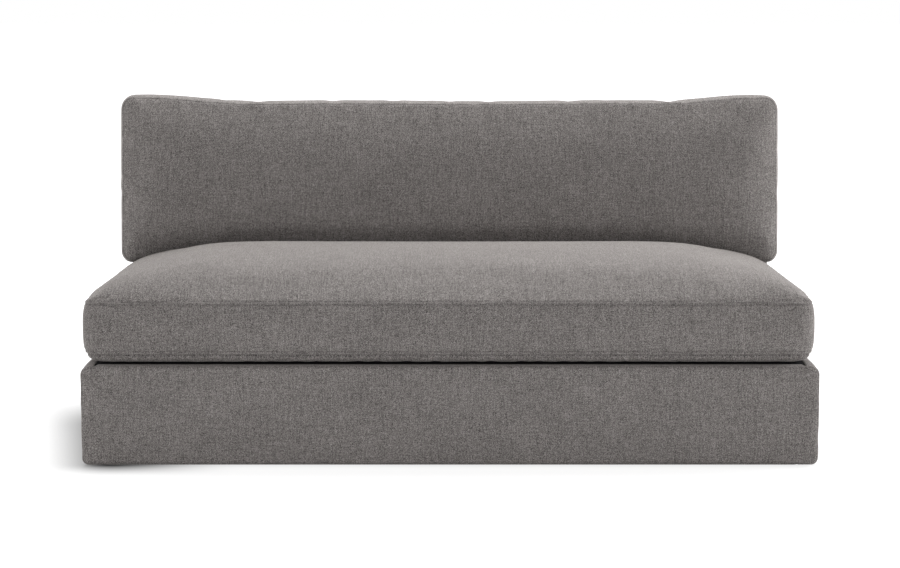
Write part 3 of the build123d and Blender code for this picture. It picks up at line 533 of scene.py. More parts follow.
# dark and light tone, grain and bump in mm, roughness, metallic
SPECKLED = {
    "felt, needled": ("#7E7A73", "#B5B0A6", 2.5, 0.6, 1.0, 0),  # grey waste fibres, quite matte
    "foam, cut": ("#D6CBA4", "#EFE6C6", 1.4, 0.5, 0.95, 0),  # cream open cells, matte
    "fibre, carded": ("#DCDCD9", "#F4F4F2", 6, 2.0, 1.0, 0),  # white loose tufts, soft and matte
    "hardboard": ("#5C4028", "#7A5838", 1.0, 0.2, 0.55, 0),  # brown pressed fibres, smooth on one face
    "steel, zinc plated": ("#C2C4C6", "#D2D4D6", 2.0, 0.02, 0.34, 1),  # bright, with soft reflections
    "spring steel, blacked": ("#2B2B2D", "#3D3D40", 1.0, 0.05, 0.42, 0.6),  # dark oiled scale, half shiny
    "nylon, moulded": ("#D9D8D4", "#E4E3DF", 0.8, 0.05, 0.45, 0),  # off-white, dull gloss
    "zip coil, nylon": ("#4C4947", "#5A5654", 0.6, 0.05, 0.45, 0),  # dyed grey, dull gloss
    "zip metal, antique": ("#8A8784", "#A19E9A", 0.9, 0.03, 0.38, 1),  # dimmed plating, soft reflections
}
# dark and light tone, axis of the grain, ring width in mm: pale pinkish brown, short dark pores, matte
TIMBERS = {
    "beech, planed": ("#B58A5E", "#D9B68C", 0, 9),
    "beech, upright": ("#B58A5E", "#D9B68C", 2, 9),
    "beech, crosswise": ("#B58A5E", "#D9B68C", 1, 9),
    "birch plywood": ("#C9A776", "#E2C89C", 0, 3),
}


def material_of(name, colours):
    """The material of that name, made on first use."""
    found = bpy.data.materials.get(name)
    if found:
        return found
    if name in SPECKLED:
        dark, light, grain, bump, roughness, metallic = SPECKLED[name]
        return speckled(name, dark, light, grain * MM, bump * MM, roughness, metallic)
    if name in TIMBERS:
        dark, light, along, ring = TIMBERS[name]
        return timber(name, dark, light, along, ring * MM)
    if name == "linen weave":
        return woven_linen(name, colours)
    if name == "webbing, elastic":
        return striped_webbing(name, "#26262A", "#7C6A48")
    cloths = {
        "decking cotton": (colours.decking, 1.2 * MM),
        "dust cloth, bonded": (colours.dust, 0.9 * MM),
        "zip tape": ("#5E5A58", 0.8 * MM),
    }
    return plain_cloth(name, *cloths[name])


def dressed(piece, material, body, slot, *nodes):
    """Gives a piece its material, its body and the CAD nodes that it stands for. slot is not used."""
    piece.data.materials.clear()
    piece.data.materials.append(material_of(material, bpy.context.scene.sofa.colours))
    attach(piece, body)
    if nodes:
        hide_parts(*nodes)
    return piece


# ---- seams ----
def seam_relief(off, along, seed):
    """Relief of a top-stitched seam at a signed distance from it, positive on the panel's side.

    A groove where the panels meet, a raised band of turned-in cloth on the boxing's side, a shallower
    groove at the row of stitches, and low puckers that fade out within 45 mm.
    """
    groove = -SEAM_DEPTH * bell(off, 1.5 * MM)
    stitches = -0.7 * SEAM_DEPTH * bell(off - STITCH_AT, 1.5 * MM)
    band = 0.35 * SEAM_DEPTH * bell(off - STITCH_AT / 2, 3.0 * MM, 4)
    puckers = 0.5 * MM * wander(along, off * 0.3, 38 * MM, seed) * bell(off, 22 * MM)
    return groove + stitches + band + puckers


def seam_shade(off):
    """Painted shade by a seam: 0.7 in the groove and 0.6 in the row of stitches."""
    return np.maximum(0.7 * bell(off, 1.7 * MM), 0.6 * bell(off - STITCH_AT, 1.5 * MM))


# ---- box cushions ----
SEAT_SHIFT, BACK_SHIFT = -3.4 * MM, -1.6 * MM  # the loose cushions lie a little left of the base's middle
ZIP_HALF = 750 * MM  # half the length of a zip's mouth
FILLINGS = {
    "wrap": ("fibre_wrap", "fibre, carded", "fibre", 5 * MM),
    "core": ("foam_core", "foam, cut", "foam", 25 * MM),
}


def rise(share):
    """1-(1-s)^3: steep at a seam and level where the panel rests."""
    return 1 - (1 - np.clip(share, 0, 1)) ** 3


def box_cushion_rows(place, form):
    """Inset and level of rows at a distance along a box cushion's section.

    The distance is negative on the lower panel, from 0 to boxing on the side band and larger on the upper
    panel, which rises by crown*(1-0.92*exp(-e/run)-0.08*exp(-6.4*e/run)), where e=s-s^3/(3*reach^2) is
    level at the panel's middle. The band falls back by tuck*|2t-1|^power, with its own tuck and power
    below and above mid width. under_ease is the share of the lower panel's sink that it reaches over five
    times its run, so that it lifts off its support towards the seam.
    """
    band = form["boxing"]
    under, over = np.clip(-place, 0, None), np.clip(place - band, 0, None)
    t = np.clip(place / band, 0, 1)
    off = np.abs(2 * t - 1)
    (tuck_low, power_low), (tuck_top, power_top) = form["tucks"]
    fall = np.where(t < 0.5, tuck_low * off**power_low, tuck_top * off**power_top)
    inset = under + over + fall - form["bulge"]
    slow = form["under_ease"]
    fast = under / form["under_run"]
    sink = form["under_crown"] * ((1 - slow) * rise(fast) + slow * rise(fast / 5))
    over = over * (1 - np.minimum(over / form["reach"], 1) ** 2 / 3) / form["crown_run"]
    lift = form["crown"] * (1 - 0.92 * np.exp(-over) - 0.08 * np.exp(-6.4 * over))
    return inset, form["low"] + band * t - sink + lift


def box_cushion_grid(place, form, counts):
    """Points of a box cushion in its own axes: width, height of the panel, and thickness."""
    inset, level = box_cushion_rows(place, form)
    inset = np.minimum(inset, (form["head"] - form["foot"]) / 2)
    half, low, high = form["half"] - inset, form["foot"] + inset, form["head"] - inset
    inner = np.clip(inset, 0, None)
    corner = form["corner"] + form["softening"] * inner - np.minimum(inset, 0)
    corner = np.minimum(np.clip(corner, 0, half), 0.499 * (high - low))
    a, b = rounded_rings(half, low, high, corner, corner, counts)
    return a, b, np.broadcast_to(level[:, None], a.shape).copy()


def drawn_in(form, inset):
    """The same form drawn in by an inset, as a filling lies in its cover. Seams come nearer by 1.4 of it."""
    shares = {
        "half": -1,
        "foot": 1,
        "head": -1,
        "corner": -1,
        "low": 0.7,
        "boxing": -1.4,
        "zip": -0.7,
        "crown": -0.3,
        "under_crown": -0.3,
        "reach": -1,
    }
    return form | {key: form[key] + share * inset for key, share in shares.items()}


def zip_zone(place, form, counts, x, edge, end):
    """1 along the zip: within edge of its line, on the ring's low side and between the mouth's ends."""
    ring = ring_places(counts)
    low_side = (ring < 1) | (ring > RING_SEGMENTS - 1)
    across = 1 - blend_step(np.abs(place - form["zip"]), *edge)
    ends = 1 - blend_step(np.abs(x), ZIP_HALF + end, ZIP_HALF + end + 6 * MM)
    return low_side[None, :] * across[:, None] * ends


def casing(name, place, points, plan, form, counts):
    """The stuffed cover of a box cushion: two top-stitched seams, and a zip's mouth between folded edges."""
    band = form["boxing"]
    round_it = along_ring(points[np.abs(place - band / 2).argmin()])
    off_low, off_top = -place[:, None], place[:, None] - band
    relief = seam_relief(off_low, round_it[None, :-1], 5) + seam_relief(off_top, round_it[None, :-1], 6)
    # painted shade in both seams' grooves and rows of stitches
    shade = np.maximum(seam_shade(off_low), seam_shade(off_top))
    off_zip = np.abs(place[:, None] - form["zip"])
    stitched = bell(off_zip - 15 * MM, 1.3 * MM)
    fold = 0.8 * MM * bell(off_zip - 10 * MM, 3 * MM) - 0.7 * MM * stitched
    near = zip_zone(place, form, counts, points[..., 0], (20 * MM, 22 * MM), 0)
    mouth = zip_zone(place, form, counts, points[..., 0], (5 * MM, 7 * MM), 0)
    relief = relief + fold * near * (1 - mouth) - 6.5 * MM * mouth
    # painted shade along the zip's rows of stitches
    shade = np.maximum(shade, 0.4 * stitched * near)
    points = points + outward(points, True) * relief[..., None]
    plan = np.concatenate([plan, plan[:, :1]], 1)
    side = np.stack(np.broadcast_arrays(round_it[None, :], place[:, None]), -1)
    on_band = ((place >= 0) & (place < band))[:, None, None]
    ends_band = ((place > 0) & (place <= band))[:, None, None]
    weave, below = np.where(on_band, side, plan), np.where(ends_band, side, plan)
    return grid_piece(name, points, weave, True, below, shade)[0]


def stuffed(cushion, form, shape, counts, rough, held, swell):
    """A box cushion's casing, and inside it its wrap and core, which take up the same moves.

    shape(place, form, counts, inset) gives points and their plan. held(rows, points) is 1 where the cover
    can't move as it fills out, and elsewhere the share that is taken off its move. The upper panel's
    middle moves as one.
    """
    band, reach, mouth = form["boxing"], form["reach"], form["zip"]
    # the simulation moves a coarse grid, and the casing and its fillings read its moves
    rows = steps_between(-reach, band + reach, [0, band], 9 * MM, 0.1, 18 * MM)
    moved = np.zeros((len(rows), len(ring_places(rough)), 3))
    start, _ = shape(rows, form, rough)
    seams = np.clip(1 - np.minimum(np.abs(rows), np.abs(rows - band)) / (3 * MM), 0, 1)
    share = held(rows[:, None], start)
    moved = settled(start, np.maximum(seams[:, None], np.floor(share)), swell) * (1 - share[..., None])
    middle = blend_step(rows, band + reach - 150 * MM, band + reach - 50 * MM)[:, None, None]
    near_middle = moved[-6].mean(0)
    moved += (near_middle - moved) * middle

    def filled_out(points, place, counts):
        return points + finer(moved, rows, ring_places(rough), place, ring_places(counts))

    fine_at = [0, mouth - 6 * MM, mouth + 6 * MM, band]
    place = steps_between(-reach, band + reach, fine_at, 1.3 * MM, 0.12, 9 * MM)
    points, plan = shape(place, form, counts)
    cover = casing(f"{cushion}_casing", place, filled_out(points, place, counts), plan, form, counts)
    dressed(cover, "linen weave", cushion, "grey_linen", f"{cushion}_cover")
    for layer, (name, finish, slot, inset) in FILLINGS.items():
        inner = drawn_in(form, inset)
        mouth, ends = inner["zip"], [-inner["reach"], inner["boxing"] + inner["reach"]]
        fine_at = [0, mouth - 16 * MM, mouth + 16 * MM, inner["boxing"]]
        place = steps_between(*ends, fine_at, 6 * MM, 0.2, 22 * MM)
        same = np.interp(place, [ends[0], 0, inner["boxing"], ends[1]], [-reach, 0, band, band + reach])
        points, _ = shape(place, inner, rough, inset)
        points = filled_out(points, same, rough)
        if layer == "wrap":
            channel = zip_zone(place, inner, rough, points[..., 0], (16 * MM, 22 * MM), 16 * MM)
            points = points - outward(points, True) * (4 * MM * channel)[..., None]
        piece, _ = grid_piece(f"{cushion}_{name}", points, plain_map(*points.shape[:2]), True)
        dressed(piece, finish, cushion, slot, f"{cushion}_{layer}")


def seat_points(place, form, counts, inset=0.0):
    """Points of the seat cushion: its crown, sunk at the rear into the hollow that the back cushion presses.

    The crown is lower by a bell 90 mm wide that stands 150 mm inside the sides. The hollow's wall stands
    168 mm behind the middle and rises by 110 mm, gentler on a filling. The sides stand out by belly, most
    at 915 mm from the middle and not at the corners.
    """
    size = bpy.context.scene.sofa.seat
    a, b, level = box_cushion_grid(place, form, counts)
    upper = place[:, None] > form["boxing"]
    x, y = SEAT_SHIFT - a, (SEAT_LOW.y + SEAT_HIGH.y) / 2 - b
    off = size.width / 2 - size.bulge - inset - np.abs(a)
    level = level - size.shoulder * bell(off - 0.15, 0.09) * upper
    along = 1 - np.minimum(np.abs(b) / form["head"], 1) ** 4
    x = x - size.belly * np.sin(a / 0.915 * math.pi / 2) * along
    lip, inner = 168 * MM - inset, inset > 0
    wall = blend_step(y, lip - (14 + 22 * inner) * MM, lip + (34 - 16 * inner) * MM)
    sunk = soft_min(level, size.hollow - inset + (1 - wall) * 110 * MM, 16 * MM)
    sunk = np.where((place[:, None] > form["boxing"] + 1e-6) & (y > lip - 60 * MM), sunk, level)
    return np.stack([x, y, sunk], -1), np.stack([x, y + 0.6 * (level - sunk)], -1)


class SOFA_OT_seat_cushion(bpy.types.Operator):
    """Bench seat cushion: a box-style cover with bulging boxing and a high crown, over its wrap and core"""

    bl_idname = "sofa.seat_cushion"
    bl_label = "Seat cushion"

    def execute(self, context):
        size = context.scene.sofa.seat
        half_y = (SEAT_HIGH.y - SEAT_LOW.y) / 2 - size.bulge
        form = {
            "half": size.width / 2 - size.bulge,
            "foot": -half_y,
            "head": half_y,
            "corner": size.corner,
            "softening": 0.3,
            "boxing": size.top_seam - size.low_seam,
            "zip": (size.top_seam - size.low_seam) / 2,
            "low": size.low_seam,
            "bulge": size.bulge,
            "tucks": ((7.5 * MM, 4.1), (8.5 * MM, 3.2)),
            "crown": size.crown,
            "crown_run": size.crown_run,
            "under_crown": size.low_seam - SEAT_LOW.z,
            "under_run": 20 * MM,
            "under_ease": 0.38,
            "reach": half_y + size.bulge,
        }

        def held(rows, points):
            under = rows < -45 * MM
            hollow = blend_step(points[..., 1], 20 * MM, 165 * MM) * (rows > form["boxing"])
            off_zip = np.abs(rows - form["zip"])
            rear = (points[..., 1] > SEAT_HIGH.y - 30 * MM) * (1 - blend_step(off_zip, 18 * MM, 40 * MM))
            return np.maximum(np.maximum(rear, under), hollow)

        stuffed("seat_cushion", form, seat_points, (226, 98, 14), (112, 48, 6), held, size.swell)
        return {"FINISHED"}


def back_points(place, form, counts, inset=0.0):
    """Points of the back cushion: its upper edge dips between its ends and its foot is flat on the seat.

    The ears rise over 530 to 850 mm from the middle on the left and 600 to 840 mm on the right. Between
    them the edge sags by 3.2 mm and waves by 1.3 mm.
    """
    size = bpy.context.scene.sofa.back
    a, b, level = box_cushion_grid(place, form, counts)
    ears = size.ear * np.where(a < 0, blend_step(-a, 0.53, 0.85), blend_step(a, 0.60, 0.84))
    share = np.clip((b - form["head"] / 2) / (form["head"] / 2), 0, 1.1)
    sag = -3.2 * MM + 1.3 * MM * np.cos((a + 0.28) * 2 * math.pi / 0.75)
    b = b + (ears + sag) * share
    y = BACK_ORIGIN_Y + b * math.sin(LEAN) - level * math.cos(LEAN)
    z = BACK_ORIGIN_Z + b * math.cos(LEAN) + level * math.sin(LEAN)
    z = -soft_min(-z, -(BACK_LOW.z + inset + 0 * z), 5 * MM)
    return np.stack([a + BACK_SHIFT, y, z], -1), np.stack([a, b], -1)


class SOFA_OT_back_cushion(bpy.types.Operator):
    """Back cushion: a box-style cover that leans on the back frame and stands on the seat cushion"""

    bl_idname = "sofa.back_cushion"
    bl_label = "Back cushion"

    def execute(self, context):
        size = context.scene.sofa.back
        form = {
            "half": size.width / 2,
            "foot": -5 * MM,
            "head": size.height - 5 * MM,
            "corner": size.corner,
            "softening": 0.4,
            "boxing": size.boxing,
            "zip": 73.7 * MM,
            "low": size.rear_crown,
            "bulge": size.bulge,
            "tucks": ((size.bulge, 2.8), (size.bulge, 2.8)),
            "crown": size.crown,
            "crown_run": size.crown_run,
            "under_crown": size.rear_crown,
            "under_run": 90 * MM,
            "under_ease": 0.0,
            "reach": size.height / 2,
        }

        def held(rows, points):
            return np.maximum(rows < -30 * MM, 1 - blend_step(points[..., 2], 432 * MM, 445 * MM))

        stuffed("back_cushion", form, back_points, (226, 54, 10), (112, 26, 5), held, size.swell)
        return {"FINISHED"}


# ---- covers of the base and the back frame ----
def inside_back(z):
    """Depth of the leaning inside back at a height: its foot plus tan(lean) times height above the deck."""
    return BACK_FOOT_Y + math.tan(LEAN) * (z - BASE_TOP)


def roll_drop(inset, radius):
    """How far a face falls back at an inset from its outline: r-sqrt(r^2-(r-inset)^2), a quarter circle."""
    short = np.clip(radius - inset, 0, radius)
    return radius - np.sqrt(np.maximum(radius**2 - short**2, 0))


def groove(off, depth=2.2 * MM, width=1.8 * MM):
    """Sunk edge of a panel at its seam: depth*exp(-(off/width)^2)."""
    return depth * bell(off, width)


def roll_profile(size, length, seam, step=11 * MM):
    """Rows of a cover from the face's seam, over the roll and back by a length: inset, depth, distance.

    seam is the seam's inset from the outline, one for each column.
    """
    radius, seam = size.face_roll, np.atleast_1d(seam)[None, :]
    first = np.arcsin(1 - seam / radius)
    angle = first + (math.pi / 2 - first) * np.linspace(0, 1, 9)[:, None]
    inset = radius * (1 - np.sin(angle))
    depth = radius * (1 - np.cos(angle))
    rest = np.linspace(0, 1, max(3, int(length / step)))[1:, None] * (length - radius)
    inset = np.concatenate([inset, 0 * rest + 0 * seam])
    depth = np.concatenate([depth, radius + rest + 0 * seam])
    run = np.cumsum(np.hypot(np.diff(inset, axis=0), np.diff(depth, axis=0)), axis=0)
    return inset, depth, np.concatenate([0 * seam, run])


def slumped(points):
    """Lowers the deck and what hangs from it towards its front edge, and the front's lower edge."""
    size = bpy.context.scene.sofa.covers
    deep, tall = points[..., 1] + HALF_DEPTH, points[..., 2]
    share = 1 - blend_step(deep, 5 * MM, 75 * MM)
    foot = (1 - blend_step(deep, 4 * MM, 22 * MM)) * (1 - blend_step(tall, 15 * MM, 90 * MM))
    lowered = points.copy()
    lowered[..., 2] -= size.slump * share * blend_step(tall, 150 * MM, 240 * MM) + size.hang * foot
    return lowered


def cloth_panel(name, nodes, points, weave, shade, closed=False, finish=LINEN):
    """A panel of cloth from a grid: its mesh and wall, its finish and the CAD nodes that it stands for.
    """
    piece, _ = grid_piece(name, points, weave, closed, painted_seam_shade=shade)
    dressed(thickened(piece), finish[0], "frame", finish[1], *nodes)


def face_cover(name, node, side):
    """Front or rear panel of the base, inside its seam: rings that close on a line, padded by 6.5 mm.

    The front panel's upper seam is drawn up on the roll by seam_rise, and the painted shade along it fades
    there.
    """
    size = bpy.context.scene.sofa.covers
    reach = (BASE_TOP - BASE_FOOT) / 2
    off = steps_between(0, reach - size.face_seam, [0], 1.2 * MM, 0.14, 9 * MM)[::-1]
    inset = off + size.face_seam
    corners = (
        np.maximum(edge - inset, np.minimum(5 * MM, reach - inset))
        for edge in (size.bottom_edge, size.top_edge)
    )
    a, b = rounded_rings(HALF_WIDTH - inset, BASE_FOOT + inset, BASE_TOP - inset, *corners, (226, 28, 8))
    high = blend_step(b, BASE_TOP - 30 * MM, BASE_TOP - 12 * MM) * (side < 0)
    raised = size.seam_rise * bell(off, 14 * MM)[:, None] * high
    b = b + raised
    puff = 3 * MM * (1 - np.exp(-off / (5 * MM))) + 2 * MM * (1 - np.exp(-off / (14 * MM)))
    pad = (puff + 1.5 * MM * blend_step(off, 0, 50 * MM) - groove(off))[:, None]
    pucker = 0.35 * MM * wander(a, b, 60 * MM, 31 + side) * bell(off, 25 * MM)[:, None]
    level = HALF_DEPTH - roll_drop(inset[:, None] - raised, size.face_roll) + pad + pucker
    points = slumped(np.stack([-side * a, side * level, b], -1))
    weave = np.stack([a, b], -1)
    weave = np.concatenate([weave, weave[:, :1]], 1)
    # painted shade along the seam, fading where the seam is drawn up
    shade = bell(off, SEAM_SHADE_WIDTH)[:, None] * (1 - 0.8 * raised / size.seam_rise)
    cloth_panel(name, [node], points, weave, shade, True)


def side_cover(name, node, side):
    """Side cover of the base: rows from the front seam to the rear one, each from the deck to below the rail.

    A row is the deck's return, a quarter circle, the side, a quarter circle and the turn-in. Near the
    front and rear each part is drawn in along its own inward direction, as the face's roll says.
    """
    size = bpy.context.scene.sofa.covers
    counts = (8, 10, 24, 10, 7)  # columns of the five parts
    side_column = 20  # one that runs along the side, just under its upper edge
    rising = 1 - blend_step(np.arange(sum(counts)), 9, 17)
    front_seam = size.face_seam - size.seam_rise * rising
    inset, depth, _ = roll_profile(size, HALF_DEPTH, front_seam)
    inset_rear, depth_rear, _ = roll_profile(size, HALF_DEPTH, size.face_seam + 0 * front_seam)
    inset = np.concatenate([inset, inset_rear[::-1][1:]])
    depth = np.concatenate([depth, (2 * HALF_DEPTH - depth_rear)[::-1][1:]])
    across, bend, tall = (np.linspace(0, 1, n + 1)[:-1] for n in counts[:3])
    sine, cosine = np.sin(bend * math.pi / 2), np.cos(bend * math.pi / 2)
    top, low = size.top_edge, size.bottom_edge
    start, end = HALF_WIDTH - size.top_return, HALF_WIDTH - size.underfold
    parts = [
        (start + (HALF_WIDTH - top - start) * across, BASE_TOP, 0, -1),
        (HALF_WIDTH - top + top * sine, BASE_TOP - top + top * cosine, -sine, -cosine),
        (HALF_WIDTH, BASE_TOP - top + (BASE_FOOT + low - BASE_TOP + top) * tall, -1, 0),
        (HALF_WIDTH - low + low * cosine, BASE_FOOT + low - low * sine, -cosine, sine),
        (HALF_WIDTH - low + (end - HALF_WIDTH + low) * np.linspace(0, 1, counts[4]), BASE_FOOT, 0, 1),
    ]
    x, z, in_x, in_z = np.concatenate([np.stack(np.broadcast_arrays(*part)) for part in parts], 1)
    y = depth - HALF_DEPTH
    points = slumped(np.stack([x + inset * in_x, y, z + inset * in_z], -1))
    z = z + inset * in_z
    round_it = run_along(points[len(points) // 2])[None, :]
    weave = np.stack(np.broadcast_arrays(y, round_it), -1)
    run = run_along(points[:, side_column])[:, None]
    off = np.minimum(run, run[-1] - run)
    top_off = round_it + 0 * off
    pad = 1.2 * MM * blend_step(off, 4 * MM, 60 * MM) * blend_step(round_it, 0.05, 0.12)
    pad = pad + 0.4 * MM * wander(y, z, 0.07, 40 + side) * bell(off, 25 * MM)
    points = points + outward(points, False) * (pad - groove(off) - groove(top_off, 1.2 * MM))[..., None]
    # painted shade along the front and rear seams, and weaker at the return's edge on the deck
    shade = np.maximum(bell(off, SEAM_SHADE_WIDTH), 0.6 * bell(top_off, SEAM_SHADE_WIDTH))
    if side < 0:
        points = (points * np.array([-1, 1, 1]))[:, ::-1]
        weave, shade = weave[:, ::-1], shade[:, ::-1]
    cloth_panel(name, [node], points, weave, shade)


def edge_strip(name, nodes, up, side, half, start, length, finish=LINEN):
    """A strip along the base's top or bottom, from start to length behind the front or rear seam.

    up is 1 on the top and -1 below; side is -1 at the front and 1 at the rear. A strip on the top is
    tucked 2.4 mm below the side returns, and below the border where it starts behind it.
    """
    size = bpy.context.scene.sofa.covers
    seam = size.face_seam - (size.seam_rise if up > 0 and side < 0 else 0)
    inset, depth, run = (rows[:, 0] for rows in roll_profile(size, length, seam))
    keep = run >= start - 1e-9
    inset, depth, run = inset[keep, None], depth[keep, None], run[keep, None]
    x = np.linspace(-half, half, 190)[None, :]
    middle, reach = (BASE_TOP + BASE_FOOT) / 2, (BASE_TOP - BASE_FOOT) / 2
    off_end = half - np.abs(x)
    sunk = groove(run) + groove(off_end, 1.2 * MM) if start == 0 else groove(run - run[0], 1.2 * MM)
    edge = HALF_WIDTH - size.top_return
    behind = (1 - blend_step(run, start + 2 * MM, start + 10 * MM)) * (start > 0)
    tucked = 2.4 * MM * np.maximum(blend_step(np.abs(x), edge - 2 * MM, edge), behind) * (up > 0)
    z = middle + up * (reach - inset - sunk - tucked)
    y = side * (HALF_DEPTH - depth) + 0 * x
    points = slumped(np.stack(np.broadcast_arrays(x, y, z), -1))
    weave = np.stack(np.broadcast_arrays(x, y), -1)
    # painted shade along the seam and at the strip's ends
    shade = np.maximum(bell(run - run[0], SEAM_SHADE_WIDTH), bell(off_end, SEAM_SHADE_WIDTH))
    if up * side > 0:
        points, weave, shade = points[:, ::-1], weave[:, ::-1], shade[:, ::-1]
    cloth_panel(name, nodes, points, weave, shade, finish=finish)


class SOFA_OT_base_covers(bpy.types.Operator):
    """Covers of the base: front and rear panels, side wraps, deck border and decking, hems and dust cloth"""

    bl_idname = "sofa.base_covers"
    bl_label = "Base covers"

    def execute(self, context):
        size = context.scene.sofa.covers
        face_cover("base_front_panel", "base_front_cover", -1)
        face_cover("base_rear_panel", "base_rear_cover", 1)
        side_cover("base_side_wrap_left", "base_left_cover", -1)
        side_cover("base_side_wrap_right", "base_right_cover", 1)
        half, fold = HALF_WIDTH - size.top_return, HALF_WIDTH - size.underfold
        border, deck, black = 24 * MM, HALF_DEPTH + BACK_FOOT_Y, ("decking cotton", "deck_cloth")
        edge_strip("deck_border", ["deck_cover"], 1, -1, half, 0, border)
        edge_strip("decking", ["deck_cover"], 1, -1, half + 12 * MM, border - 6 * MM, deck, black)
        edge_strip("base_rear_edge", ["base_rear_cover"], 1, 1, half, 0, 16 * MM)
        edge_strip("hem_front", ["base_hems"], -1, -1, fold, 0, size.underfold)
        edge_strip("hem_rear", ["base_hems"], -1, 1, fold, 0, size.underfold)
        low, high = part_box("dust_cover")
        x, y = np.meshgrid(np.linspace(high.x, low.x, 90), np.linspace(low.y, high.y, 50))
        sag = 1.5 * MM * wander(x, y, 0.25, 77) * (1 - (x / high.x) ** 4) * (1 - (y / high.y) ** 4)
        points = np.stack([x, y, low.z + 0.2 * MM * np.abs(sag / MM)], -1)
        cloth, _ = grid_piece("dust_cloth", points, np.stack([x, y], -1))
        dressed(thickened(cloth, 0.8 * MM), "dust cloth, bonded", "frame", "dust_cloth", "dust_cover")
        return {"FINISHED"}


def back_path(inset, size):
    """Section of the back frame's covers, drawn in by an inset: up inside, over the top and down behind.

    Corners are circular fillets between the leaning inside back, the level top and the upright outside.
    Gives depth, height and the column numbers at which the two upper seams lie.
    """
    up, turn, lip, down = (np.linspace(0, 1, n)[None, :-1] for n in (40, 9, 3, 42))
    down = np.append(down, 1)[None, :]
    radius = size.back_roll - inset
    centre_z = BACK_TOP - size.back_roll + 0 * inset
    front = inside_back(centre_z) + size.back_roll / math.cos(LEAN)
    rear = HALF_DEPTH - size.back_roll
    start_y, start_z = inside_back(BASE_TOP) + inset / math.cos(LEAN), BASE_TOP + 0 * inset
    first_y, first_z = front - radius * math.cos(LEAN), centre_z + radius * math.sin(LEAN)
    front_angle = math.pi - LEAN - turn * (math.pi / 2 - LEAN)
    rear_angle = math.pi / 2 - turn * math.pi / 2
    seam_off = size.back_seam - size.back_roll
    inner, outer, high = front + seam_off, rear - seam_off, centre_z + radius
    parts = [
        (start_y + (first_y - start_y) * up, start_z + (first_z - start_z) * up),
        (front + radius * np.cos(front_angle), centre_z + radius * np.sin(front_angle)),
        (front + (inner - front) * lip, high),
        (inner + (outer - inner) * turn, high),
        (outer + (rear - outer) * lip, high),
        (rear + radius * np.cos(rear_angle), centre_z + radius * np.sin(rear_angle)),
        (rear + radius, centre_z + (BASE_TOP - centre_z) * down),
    ]
    y, z = np.concatenate([np.stack(np.broadcast_arrays(*part)) for part in parts], 2)
    inner_seam = up.size + turn.size + lip.size
    return y, z, inner_seam, inner_seam + turn.size


def back_panel(name, node, columns, closed_ends):
    """A panel of the back frame across its width, sunk at its seams."""
    size = bpy.context.scene.sofa.covers
    half = HALF_WIDTH - size.back_seam
    y, z, _, _ = back_path(np.zeros((1, 1)), size)
    y, z = y[:, columns], z[:, columns]
    end = half - np.array([0, 1.5, 3, 5]) * MM  # close columns at the side seams, for the groove
    x = np.concatenate([end, np.linspace(half - 9 * MM, -half + 9 * MM, 170), -end[::-1]])[:, None]
    points = np.stack(np.broadcast_arrays(x, y, z), -1)
    run = run_along(points[0])[None, :]
    off = half - np.abs(x) + 0 * run
    for closed, seam_off in zip(closed_ends, (run, run[0, -1] - run)):
        off = np.minimum(off, seam_off) if closed else off
    waves = wander(x + 0 * run, run + 0 * x, 0.09, len(name))
    pad = (1.2 * MM * blend_step(off, 2 * MM, 60 * MM) + 0.4 * MM * waves) * blend_step(off, 0, 20 * MM)
    points = points + outward(points, False) * (pad - groove(off))[..., None]
    # painted shade along the panel's seams
    cloth_panel(name, [node], points, np.stack(np.broadcast_arrays(x, run), -1), bell(off, SEAM_SHADE_WIDTH))


def back_side(name, node, side):
    """Side panel of the back frame: from its seam over the rolled edge, then on to the end's middle line."""
    size = bpy.context.scene.sofa.covers
    angle = np.linspace(0, math.pi / 2, 9)
    roll_x = HALF_WIDTH - size.back_roll * (1 - np.sin(angle))
    inset = np.append(0, size.back_roll * (1 - np.cos(angle)))[:, None]
    x = np.append(roll_x[0] - (size.back_seam - size.back_roll), roll_x)[:, None]
    y, z, _, _ = back_path(inset, size)
    share = np.linspace(0, 1, 12)[1:, None]
    middle_z = np.minimum(z[-1:], BACK_TOP - 50 * MM)
    middle_y = (inside_back(middle_z) + HALF_DEPTH) / 2
    run = run_along(np.concatenate([x, inset], 1))
    run = np.concatenate([run, run[-1] + share[:, 0] * 45 * MM])[:, None]
    y = np.concatenate([y, y[-1:] + (middle_y - y[-1:]) * share])
    z = np.concatenate([z, z[-1:] + (middle_z - z[-1:]) * share])
    x = np.concatenate([x, HALF_WIDTH + 1.5 * MM * blend_step(share, 0, 0.8)])
    points = np.stack(np.broadcast_arrays(x, y, z), -1)
    points = points + outward(points, False) * groove(run)[..., None]
    # painted shade along the seam
    weave, shade = np.stack([y, z], -1), bell(run, SEAM_SHADE_WIDTH) + 0 * y
    if side < 0:
        points = points * np.array([-1, 1, 1])
    else:
        points, weave, shade = points[:, ::-1], weave[:, ::-1], shade[:, ::-1]
    cloth_panel(name, [node], points, weave, shade)


class SOFA_OT_back_covers(bpy.types.Operator):
    """Covers of the back frame: inside, top, outside and side panels, joined by plain seams"""

    bl_idname = "sofa.back_covers"
    bl_label = "Back frame covers"

    def execute(self, context):
        _, _, inner, outer = back_path(np.zeros((1, 1)), context.scene.sofa.covers)
        back_panel("inside_back_panel", "inside_back_cover", slice(0, inner + 1), (False, True))
        back_panel("back_top_strip", "back_top_cover", slice(inner, outer + 1), (True, True))
        back_panel("outside_back_panel", "outside_back_cover", slice(outer, None), (True, False))
        back_side("back_side_left", "back_left_cover", -1)
        back_side("back_side_right", "back_right_cover", 1)
        return {"FINISHED"}


